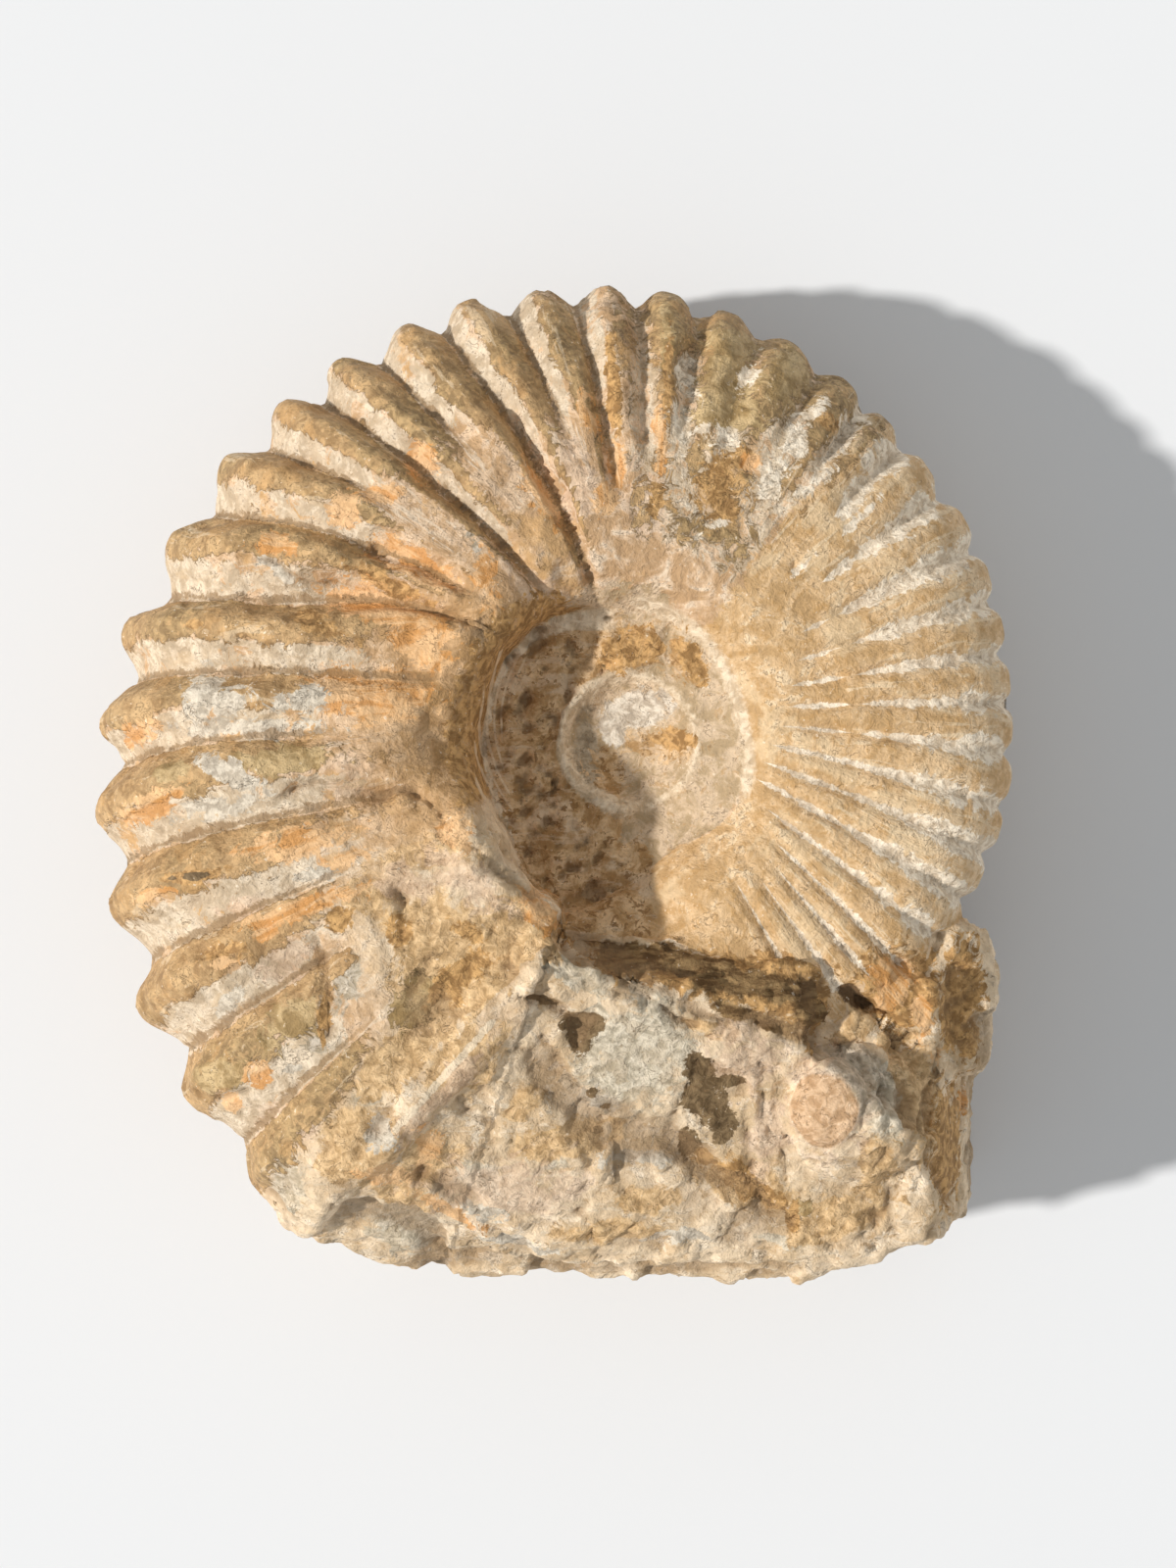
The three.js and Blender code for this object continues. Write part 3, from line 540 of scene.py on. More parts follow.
# Cracks: a way of points, a depth and a width.
CRACKS = [
    (CREVICE, 1.8, 0.9),
    ([(-9, -30.3), (-5.5, -31.2), (-2.5, -33.2), (0.5, -36), (4, -38.6), (7, -40.2), (9.6, -42)], 1.3, 0.5),
    ([(-6, -30.4), (-1.5, -32.8), (1.5, -35), (3, -37)], 0.9, 0.4),
    ([(0, -33.6), (3, -35.8), (7, -37.2)], 0.8, 0.4),
    ([(8, -34.8), (12, -35.6), (15.5, -36.6)], 0.9, 0.45),
    ([(10, -40.5), (15, -41), (20, -42.6), (24, -44.6)], 0.7, 0.4),
    ([(22, -37), (24, -38.6)], 0.8, 0.4),
    ([(-6.4, -67.6), (-5.4, -69.6), (-4.6, -71.6)], 1.0, 0.4),
    ([(-13.6, -37.3), (-9.5, -38.5), (-8, -39.8)], 1.2, 0.5),
    ([(-12, -48), (-11.4, -51)], 0.6, 0.4),
    ([(19, -45.6), (18.2, -50), (18.6, -54), (20.5, -58), (22.5, -61)], 0.7, 0.45),
    ([(21.5, -46.5), (20.6, -51), (21.2, -56), (23.5, -60)], 0.6, 0.4),
    ([(16.4, -48), (15.8, -53), (17.3, -58), (18.2, -61)], 0.6, 0.4),
    ([(34, -46.6), (38, -50), (39.5, -55), (39, -60)], 0.8, 0.45),
    ([(35.4, -50), (36.5, -56), (35.4, -62)], 0.6, 0.4),
    ([(36, -63), (37.5, -66), (36.4, -69.6)], 0.8, 0.45),
    ([(44, -46), (42.4, -52), (42.2, -58), (43.8, -64), (46.5, -68.5)], 1.2, 0.8),
    ([(-52, 21.4), (-47.4, 20.6), (-45, 19), (-42, 17.2), (-38.5, 17.5)], 0.9, 0.5),
    ([(-31, 39.5), (-28, 35), (-24, 33)], 0.8, 0.4),
    ([(-40.5, -30), (-40, -34.6), (-38.6, -38), (-39.6, -42.5)], 1.0, 0.5),
    ([(-30.5, -24.6), (-29.6, -29)], 0.7, 0.4),
    ([(-26.6, -35), (-28, -38.6)], 0.6, 0.4),
    ([(-22, -51), (-20.4, -53.6), (-17.5, -55)], 0.8, 0.45),
    ([(-10.8, -59), (-10, -61.6), (-7.8, -62.4)], 0.7, 0.45),
    ([(-59, -50.6), (-54.6, -51.4), (-50.6, -50.2)], 0.8, 0.45),
    ([(1.4, 6.4), (4, 7.6), (5.4, 10.2), (6.8, 12.6)], 0.7, 0.45),
    ([(16, 35.6), (17.2, 33)], 0.7, 0.4),
    ([(-46, -10.6), (-40, -9.2), (-35, -10.2), (-30, -9.6), (-25.6, -11.6)], 1.1, 0.5),
    ([(-24.4, -12.4), (-21.4, -16.8), (-16.4, -20.4), (-12.4, -23.4)], 1.0, 0.5),
    ([(-35.4, -21.4), (-31.6, -22.6), (-29.4, -25.4)], 0.8, 0.45),
]
# Where one layer of the rock ends above the next, with a drop and a reach: the lower side is on
# the right of each way.
LEDGES = [
    ([(-8.4, -45.6), (-6, -49), (-3.6, -53), (-0.5, -55), (5, -56.4), (8.6, -57.8)], 1.2, 6),
    ([(9.6, -58), (12, -60.4), (17, -62.6), (20, -66)], 0.9, 5),
    ([(-44, -66.6), (-36, -65.6), (-29, -66), (-25.5, -69), (-24, -73), (-24, -77)], 1.3, 6),
    ([(-23, -73.4), (-16, -74.8), (-8, -75.6), (4, -75.9), (16, -75.8), (27, -75)], 1.1, 4),
    ([(24, -44.6), (20, -42.6), (12, -41.6), (4, -37.6), (-3, -32), (-9, -29)], 0.9, 4),
    ([(-19, -69.4), (-22, -67), (-27, -63.6)], 0.8, 4),
]
# Narrow grooves begin this far out, by azimuth.
INCISED_FROM = np.array([
    (-64, 24), (-55, 28), (-46, 30), (-35, 26), (-28, 20.5), (-12, 21), (0, 22.5), (12, 24), (25, 27),
    (36, 34), (45, 42),
])


def groove_shown(place):
    """How much of each narrow groove is cut, from the navel outwards."""
    starts = np.interp(place.azimuth, *INCISED_FROM.T)
    shown = step(place.radius, starts - 1, starts + 2)
    gap = ridge(place.radius - 32, 1.8) * step(place.azimuth, -9, -6)
    along_rib = np.stack([place.rib * 5.7, place.radius / 2.5, 0 * place.radius], 1)
    return shown * (1 - gap) * (0.35 + 0.65 * step(lumps(along_rib, 1, 12), -0.55, -0.3))


def below(x, y, way, reach):
    """1 just past a ledge on its lower side, fading out over its reach."""
    best, side = np.full(len(x), 99.0), np.zeros(len(x))
    for a, b in zip(way, way[1:]):
        distance = to_line(x, y, a, b)
        left = (b[0] - a[0]) * (y - a[1]) - (b[1] - a[1]) * (x - a[0])
        side = np.where(distance < best, np.sign(left), side)
        best = np.minimum(best, distance)
    return np.where(side < 0, step(best, 0, 0.5) * (1 - step(best, 0.4 * reach, reach)), 0)


def carve_shell(place, wx, wy):
    """Swelling, the narrow grooves, and thin layers of shell peeled off or chipped away."""
    p, azimuth, share = place.points, place.azimuth, place.share
    wide = lumps(p, 6, 5)
    coarse = step(azimuth, 60, 100) * (azimuth < 238)
    out = 0.35 * lumps(p, 15, 3) + 0.22 * wide + 0.1 * lumps(p, 2.2, 6)
    out += coarse * (0.45 * place.crest - 0.1) * lumps(p, 5.5, 8)

    # The sharp foot of each coarse rib, and the narrow grooves of the finer ones.
    out -= 0.7 * ridge(place.to_groove, 0.6) * coarse * place.ribbed * (0.7 + 0.5 * wide)
    place.incised = (1 - step(azimuth, 45, 75)) * groove_shown(place)
    out -= 0.5 * ridge(place.to_groove, 0.5) * place.incised

    peel = rough(p, 9, 20, 3) + 0.25 * step(azimuth, 50, 80) - 0.2
    worn = step(azimuth, 35, 60) * (azimuth < 245) * step(share, 0.02, 0.15)
    place.peeled = place.shell * worn * step(peel, 0.1, 0.16)
    out -= 0.3 * worn * step(peel, 0.42, 0.47)
    place.chipped = place.up * step(spots(wx, wy, CHIPS), 0.42, 0.58)
    return place.shell * out - 0.4 * place.peeled - place.chipped * (0.6 + 0.5 * lumps(p, 2.6, 9))


def carve_navel(place, wx, wy):
    """A rough floor with pits round the smooth hollow, and crusts of earth on it."""
    p, x, y = place.points, place.x, place.y
    floor = step(place.hollow, 9.8, 11.2) * (1 - step(x, -4, 4) * step(y, -24, -18))
    pits = step(lumps(p, 2.1, 30) + 0.5 * lumps(p, 1.1, 31), 0.25, 0.6)
    jx, jy = wx + 1.1 * lumps(p, 1.3, 37), wy + 1.1 * lumps(p, 1.3, 38)
    pits = np.maximum(pits, 1.5 * step(spots(jx, jy, NAVEL_PITS), 0.42, 0.66))
    out = 0.35 * rough(p, 5, 32) + floor * place.navel * (1.0 * rough(p, 3.4, 33) - 1.1 * pits)
    out += step(spots(wx, wy, ROUGH_NAVEL_TOP), 0.4, 0.6) * (0.9 + 0.5 * rough(p, 1.8, 34))
    out += spot(x, y, -2, -7.5, 3.2, 4.4) * (0.9 + 0.8 * rough(p, 2.4, 35))
    return place.navel * out


def carve_rock(place, wx, wy):
    """Broken faces, layers, ledges and a three-cornered socket."""
    p, x, y, z = place.points, place.x, place.y, place.z
    big, _ = shards(p, 8.5, 41, 1.2, 0.6 * lumps(p, 4, 40))
    small, small_edge = shards(p, 3.1, 43, 1.1, 0.4 * lumps(p, 2, 42))
    smooth = np.maximum.reduce([
        spots(wx, wy, SMOOTH_SPOTS), band(wx, wy, [(-16, -43), (-28, -56)], 1.6),
        0.9 * spot(wx, wy, 1.5, -46, 6.4, 7, 30), 0.8 * spot(wx, wy, -12, -65, 9, 3.4),
    ])
    broken = 0.5 * big + 0.32 * small + 0.16 * rough(p, 3, 44) - 0.25 * ridge(small_edge, 0.1)
    on_crest = band(x, y, [(-14, -27), (0, -34), (10, -39), (26, -43)], 6)
    broken += on_crest * 0.7 * rough(stretched(p, (1, -0.62, -0.12), 4.5), 1.9, 50, 3)
    flowing = lumps(stretched(p, (-0.15, 1, 0), 5), 1.5, 51)
    broken += spot(x, y, 20, -54, 4.5, 9) * 0.5 * flowing
    out = np.maximum(place.rock, 0.8 * place.weathered) * (1 - 0.7 * step(smooth, 0.4, 0.6)) * broken

    crusted = step(x, 33, 36) * step(y, -49, -46)
    layer = 0.1 * lumps(p, 2.2, 6) + crusted * 0.7 * rough(p, 2.6, 52)
    for way, drop, reach in LEDGES:
        layer -= place.up * below(wx, wy, way, reach) * drop
    layer += spot(x, y, 31, -41.5, 3, 4.6, 20) * 1.5
    # Low on the sides the rock has larger faces.
    face, _ = shards(p, 17, 47, 1.5, 1.2 * lumps(p, 9, 46))
    layer -= (1 - place.up) * step(z, 1, 5) * np.clip(1 - face, 0, 2) * 0.9

    socket = np.minimum(-39.6 - wy, wx + 9.2 + 0.5 * (wy + 39.6))
    socket = np.minimum(socket, 0.67 * (wy + 39.6) - 2 - wx)
    return out + place.rock * layer - step(socket, 0, 0.9) * (2.2 - 0.3 * (wx + 9))


def carve_details(place, wx, wy):
    """Cracks, the notch at the end of the crest, the knob, the boss's rim, the vein and a seam."""
    p, x, y = place.points, place.x, place.y
    out = -sum(ridge(away_from(wx, wy, way), width) * depth for way, depth, width in CRACKS)
    knob = spot(wx, wy, -22.6, -16, 3.6, 2.6, -35)
    out += knob * (0.6 + 1.4 * rough(p, 2.4, 36))
    out += 0.9 * ridge(away_from(x, y, [(-9.6, -31), (-14.4, -38.4)]), 1.3)
    stripe = away_from(x, y, [VEIN_FROM, (-25.6, -49), VEIN_TO])
    out += 0.25 * ridge(stripe, 0.7) * (beyond_mouth(x, y) > -6)
    out *= place.up

    notch = np.minimum(wx - 24.2 - 0.28 * np.maximum(-39 - wy, 0), 29.2 - wx - 0.16 * (wy + 36))
    notch = np.minimum(notch, np.minimum(-35 - wy, wy + 45.6))
    out -= step(notch, 0, 0.7) * np.clip(4.2 - 1.1 * (wx - 24.5), 0, 4.2)
    rim = np.hypot((wx - 27.7) / 5.3, (wy + 52.6) / 6.5) - 1
    out -= 0.6 * ridge(rim, 0.09) * (0.5 + 0.5 * step(wx + wy, -26, -20))
    return out + 0.5 * (1 - step(rim, -0.12, 0.02))


def carve(place):
    """How far each point of the skin stands out of the smooth form, in millimetres."""
    p, fine = place.points, lumps(place.points, 2.2, 6)
    wx = place.x + 0.9 * lumps(p, 5, 1) + 0.4 * fine
    wy = place.y + 0.9 * lumps(p, 5, 2) + 0.4 * lumps(p, 2.2, 7)
    out = carve_shell(place, wx, wy) + carve_navel(place, wx, wy)
    out += carve_rock(place, wx, wy) + carve_details(place, wx, wy)
    place.cut = 0.7 * place.chipped + 0.4 * place.peeled
    # The shell's sides and underside are a little rougher.
    return out + (1 - place.up) * place.shell * 0.3 * rough(p, 4, 60)


# ---- The mesh ----


def select_only(piece):
    bpy.ops.object.select_all(action="DESELECT")
    piece.select_set(True)
    bpy.context.view_layer.objects.active = piece


def read_vectors(source, name, count):
    flat = np.empty(count * 3, np.float32)
    source.foreach_get(name, flat)
    return flat.reshape(-1, 3).astype(float)


def read_points(piece):
    points = read_vectors(piece.data.vertices, "co", len(piece.data.vertices)) / MM
    points[:, :2] -= COIL_AXIS
    return points


def write_points(piece, points):
    moved = points.copy()
    moved[:, :2] += COIL_AXIS
    piece.data.vertices.foreach_set("co", (moved * MM).astype(np.float32).ravel())
    piece.data.update()


def rough_cast():
    """The solid's own shape, with an even skin that is finer on top."""
    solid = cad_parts["ammonite"]
    cast = solid.copy()
    cast.data = solid.data.copy()
    cast.name = cast.data.name = "fossil"
    for key in list(cast.keys()):
        del cast[key]
    cast.parent = None
    bpy.context.scene.collection.objects.link(cast)
    select_only(cast)
    bpy.ops.object.mode_set(mode="EDIT")
    bpy.ops.mesh.select_all(action="SELECT")
    bpy.ops.mesh.remove_doubles(threshold=0.01 * MM)
    bpy.ops.object.mode_set(mode="OBJECT")
    remesh = cast.modifiers.new("skin", "REMESH")
    remesh.mode = "VOXEL"
    remesh.voxel_size = SKIN * MM
    bpy.ops.object.modifier_apply(modifier=remesh.name)
    bpy.ops.object.mode_set(mode="EDIT")
    bpy.ops.mesh.select_mode(type="FACE")
    bpy.ops.mesh.select_all(action="DESELECT")
    bpy.ops.object.mode_set(mode="OBJECT")
    for face in cast.data.polygons:
        face.select = face.normal.z > FACES_UP and face.center.z > FINE_ABOVE * MM
    bpy.ops.object.mode_set(mode="EDIT")
    bpy.ops.mesh.subdivide(number_cuts=1)
    bpy.ops.object.mode_set(mode="OBJECT")
    return cast


def settle_on_form(points, rounds=1):
    """Moves points onto the exact form, a little at a time."""
    for _ in range(rounds):
        slope = slope_of(points)
        size = np.maximum((slope**2).sum(1), 0.05)
        move = -(fossil(points) / size)[:, None] * slope
        length = np.maximum(np.linalg.norm(move, axis=1, keepdims=True), 1e-9)
        points = points + move * np.minimum(1, LONGEST_MOVE / length)
    return points


def averaged(values, ends):
    """Each point's mean over the points it is joined to."""
    total, count = np.zeros_like(values), np.zeros(len(values))
    for a, b in ((0, 1), (1, 0)):
        np.add.at(total, ends[:, a], values[ends[:, b]])
        np.add.at(count, ends[:, a], 1)
    return total / (count[:, None] if values.ndim == 2 else count)


FACES_UP, FINE_ABOVE = 0.15, 18  # which faces are made finer: how far they face up, and how high
LONGEST_MOVE = 0.8
SMOOTHING, CARVED_SMOOTHING = 0.6, 0.2
FLAT_BASE = 2.5  # the carving fades out towards the resting face over this height

cast = rough_cast()
edges = np.empty(len(cast.data.edges) * 2, np.int32)
cast.data.edges.foreach_get("vertices", edges)
ends = edges.reshape(-1, 2)
points = settle_on_form(read_points(cast), 2)
for _ in range(4):
    points = settle_on_form((1 - SMOOTHING) * points + SMOOTHING * averaged(points, ends))
points = settle_on_form(points)
write_points(cast, points)
place = Place(points)
facing = read_vectors(cast.data.vertex_normals, "vector", len(points))
raised = carve(place)
raised = (1 - CARVED_SMOOTHING) * raised + CARVED_SMOOTHING * averaged(raised, ends)
write_points(cast, points + (raised * step(points[:, 2], 0, FLAT_BASE))[:, None] * facing)


# ---- What shows where: soft marks that the finish turns into ragged patches ----

SKIN_TURNS = ((0.53, 0.6), (1.02, 1.36))  # from groove to groove, where the brown skin starts and ends
# Dark umber, partly painted shade: in the notch at the end of the rock's crest and on the slope behind it.
UMBER_SHADE_SPOTS = [(25, -40, 2.2, 4.4, 10), (14, -39.6, 4, 1, -20), (20, -41.4, 4, 1, -25)]
EARTH_MOUNDS = [(-2, -7.5, 3, 4.4), (5, -3.2, 5.4, 2.4, -8), (8.6, 8.6, 2.6, 4, 25)]
ASH_SPOTS = [(2.2, 1.4, 5.2, 2.4, 5), (-1.4, -1.6, 1.6, 2.6, 20)]
PLAIN_SPOTS = {
    "white": WHITE_SPOTS, "moss": MOSS_SPOTS, "orange": ORANGE_SPOTS, "pink": PINK_SPOTS,
    "grey": GREY_SPOTS, "dark": DARK_STAINS_AND_SHADOWS, "boss": [(27.2, -53.2, 4.1, 5.2)],
    "boss rim": [(31.6, -50, 4.4, 4.2, -40)],
}


def keep(piece, name, values):
    layer = piece.data.attributes.new(name, "FLOAT", "POINT")
    layer.data.foreach_set("value", np.clip(values, 0, 1).astype(np.float32))


def within(x, start, full, fade, end):
    """Rises from 0 to 1 and falls to 0 again."""
    return step(x, start, full) * (1 - step(x, fade, end))


def mark_ribs(piece, place):
    """The ribs: a brown skin on the crests and their steep sides, cream below it, and chalk."""
    p, azimuth, share = place.points, place.azimuth, place.share
    coarse, fine = step(azimuth, 70, 105), 1 - step(azimuth, 40, 62)
    unworn = place.shell * coarse * (1 - place.weathered)

    # Chalk in the narrow grooves, and painted shadow at the sharp foot of each coarse rib.
    wide = 0.28 + 1.5 * step(share, 0.38, 1.0) * (0.5 + 0.6 * step(lumps(p, 7, 76), -0.5, 0.5))
    wide *= 0.45 + 0.55 * step(azimuth, -46, -28) + 0.4 * step(azimuth, 20, 40)
    keep(piece, "chalk_line", 0.5 * place.shell * fine * place.incised * wide)
    keep(piece, "foot", unworn * place.ribbed)
    shaded = 1 - step(azimuth, 30, 60) * step(-share, -0.5, -0.1)
    keep(piece, "ochre", place.shell * fine * (0.62 + 0.38 * shaded))

    ribbed = unworn * step(share, 0.04, 0.2) * (0.25 + 0.75 * place.ribbed)
    around = place.phase + (place.phase < 0.5)
    skin = within(around, *SKIN_TURNS[0], *SKIN_TURNS[1])
    skin = skin - (0.25 + 0.3 * (INNER_DEPTH[place.rib] <= 1.2)) * (1 - step(share, 0.28, 0.6))
    tips = step(share, 0.86, 1) * within(azimuth, 78, 92, 126, 138)
    patchy = 0.24 * lumps(p, 9, 74) + 0.26 * lumps(p, 4.2, 78)
    skin = ribbed * np.clip(skin + patchy - 0.3 * tips, 0, 1)
    # On the back right, what is left of the skin is a net of patches over cream.
    back_right = place.shell * within(azimuth, 42, 54, 84, 98) * step(share, 0.12, 0.3)
    net = 0.44 + 0.5 * (place.crest - 0.5) * step(share, 0.35, 0.6) + 0.3 * step(share, 0.55, 0.85)
    net = back_right * (net + 0.2 * lumps(p, 6, 79))
    keep(piece, "skin", np.maximum(skin * (1 - back_right), net))
    cream = 0.35 + 0.4 * np.where(azimuth > 100, step(share, 0.25, 0.6), 1)
    cream = cream + 0.35 * lumps(p, 8, 73) + 0.2 * lumps(p, 3.6, 70)
    cream = ribbed * within(around - (around > 1.1), 0.08, 0.24, 0.52, 0.6) * np.clip(cream, 0, 1)
    keep(piece, "cream", np.maximum.reduce([cream, 0.62 * back_right, 0.75 * tips * ribbed]))
    fade = 0.5 * lumps(p, 14, 77) + 0.35 * step(azimuth, 105, 80) * place.shell
    keep(piece, "fade", 0.5 + fade)


def mark_stains(piece, place, wx, wy):
    """Stains, bare patches and chalk."""
    azimuth, share, z, up = place.azimuth, place.share, place.z, place.up
    for name, places in PLAIN_SPOTS.items():
        keep(piece, name, spots(wx, wy, places) * up)
    fine = 1 - step(azimuth, 40, 62)
    edge = fine * 0.6 * step(share, 0.96, 1.04) * step(z, 14, 22) * (1 - step(azimuth, 15, 35))
    keep(piece, "chalk", np.maximum(place.shell * edge, 0.82 * spots(wx, wy, CHALKY_SPOTS) * up))
    before_knob = 1 - step(azimuth, 206, 218)
    # Painted shade, partly: brown along the navel's rim, where the inner flank turns down into it.
    inner_edge = place.shell * step(azimuth, 95, 120) * (1 - step(share, 0.04, 0.16)) * before_knob
    # Painted shade, partly: the inner flank on the left, sloping down into the navel away from the light, is
    # washed a darker brown.
    wash_and_shade = place.shell * step(azimuth, 120, 150) * (1 - step(share, 0.06, 0.48)) * step(z, 40, 44)
    keep(piece, "wash_and_shade", wash_and_shade * before_knob * (0.85 + 0.15 * lumps(place.points, 7, 66)))
    bare = np.maximum(place.weathered, place.rock * up)
    keep(piece, "weathered", bare * spots(wx, wy, WEATHERED_BROWN) + 0.25 * place.weathered)
    # Painted shade, partly: dark umber behind the rock's crest, where it faces away from the light, and in
    # its notch.
    umber = np.maximum.reduce([
        band(wx, wy, [(-2, -31.6), (6, -32.6), (14, -33.6)], 1.5),
        0.9 * band(wx, wy, [(10, -35.6), (20, -36.8), (30, -37.8)], 2),
        spots(wx, wy, UMBER_SHADE_SPOTS),
    ])
    keep(piece, "umber", umber * place.rock * up)
    # Painted shade, partly: the back slope of the crest, facing away from the light, is painted brown.
    slope = band(wx, wy, [(0, -32.4), (9, -34.8), (18, -37), (27, -39)], 2.9)
    slope = place.rock * slope * step(-place.y, 30.6, 31.4)
    brown = spots(wx, wy, BROWN_AND_SHADED_SPOTS) * up
    keep(piece, "brown", np.maximum.reduce([brown, slope, 0.64 * inner_edge]))
    keep(piece, "rock", np.maximum(place.rock, place.weathered))
    # Painted shadow in the crevice between the rock's hump and the crust.
    keep(piece, "crevice", band(wx, wy, CREVICE, 1.3) * up)
    vein = band(place.x, place.y, [(-17.5, -40.5), (-25.6, -49.6), (-30.5, -55)], 0.5)
    keep(piece, "vein", vein * up)


def mark_navel(piece, place, wx, wy):
    """The navel: cream slopes, a pale rim, the hollow's ash-grey cap and a brown earthy floor."""
    x, y, z, azimuth, navel = place.x, place.y, place.z, place.azimuth, place.navel
    beside = place.radius - SHOULDER(azimuth)
    inside = navel * (1 - step(beside, 0.6, 3.4) * step(x, -8, 2))
    above = place.shell * 0.9 * (1 - step(place.radius, 16, 21)) * step(azimuth, 50, 80)
    keep(piece, "navel", np.maximum(inside, above))
    wall = within(azimuth, 92, 100, 222, 228)
    wall = wall * step(beside, -2.4 + 1.4 * step(azimuth, 130, 170), -1)
    earth = navel * (1 - step(x, -4, 4)) * step(place.hollow, 9.9, 10.8) * (1 - wall)
    valley = step(-y, 14, 20) * (1 - step(x, 2, 6)) * step(x, -16, -12) * (1 - place.rock)
    valley = valley * (1 - step(z, 50, 54)) * place.up
    mounds = np.maximum(spots(wx, wy, ROUGH_NAVEL_TOP), 0.95 * spots(wx, wy, EARTH_MOUNDS))
    keep(piece, "earth", np.maximum.reduce([earth, 0.95 * valley, navel * mounds]))
    pale = navel * ridge(place.hollow - 9.2, 1.0) * (1 - 0.4 * step(x, 0, 5))
    lip = ridge(beside - 2.4, 1.3) * (1 - step(np.abs(azimuth - 25), 50, 75))
    keep(piece, "pale", np.maximum.reduce([pale, 0.9 * navel * wall, 0.8 * lip]))
    lines = within(azimuth, 140, 158, 212, 226) * within(beside, -3.2, -2.6, 0.4, 1.4)
    keep(piece, "rim lines", lines * (1 - place.rock))
    keep(piece, "ash", navel * spots(wx, wy, ASH_SPOTS))
    keep(piece, "shadow grey", navel * spot(wx, wy, -5.2, -3.4, 1.7, 5, 8))


def mark(piece, place, raised):
    p = place.points
    wx, wy = place.x + 0.8 * lumps(p, 5, 71), place.y + 0.8 * lumps(p, 5, 72)
    mark_ribs(piece, place)
    mark_stains(piece, place, wx, wy)
    mark_navel(piece, place, wx, wy)
    # Painted shade: the deeper the carving goes in, the darker.
    keep(piece, "recess_shade", 0.5 - 0.5 * (raised + place.cut))
    keep(piece, "groove", (place.rib + place.phase) / len(RIBS))
    keep(piece, "outward", place.radius / OUTWARD_SCALE)
    keep(piece, "gap", place.gap / GAP_SCALE)


# Marks are kept from 0 to 1, so lengths in millimetres are divided by these.
OUTWARD_SCALE, GAP_SCALE = 100, 10

mark(cast, place, raised)
bpy.context.view_layer.update()
select_only(cast)
bpy.ops.object.shade_smooth()

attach(cast, "root")
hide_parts("ammonite")


# ---- Finish ----

# Patterns: size in millimetres, layers, roughness and twist, and for streaks a turn and a squeeze.
GRAINS = {
    "cloudy": (9, 4, 0.6, 0.4), "blotchy": (3.2, 5, 0.65, 0.6), "patchy": (1.5, 4, 0.65, 0.5),
    "lacy": (2.6, 6, 0.72, 0.9), "gritty": (0.75, 3, 0.6), "fine": (0.33, 2, 0.6),
    "streaky": (1.1, 4, 0.65, 0.3, (30, 0.3)), "tangled": (2.2, 3, 0.6, 1.6), "pitted": (0.9, 3, 0.6),
}
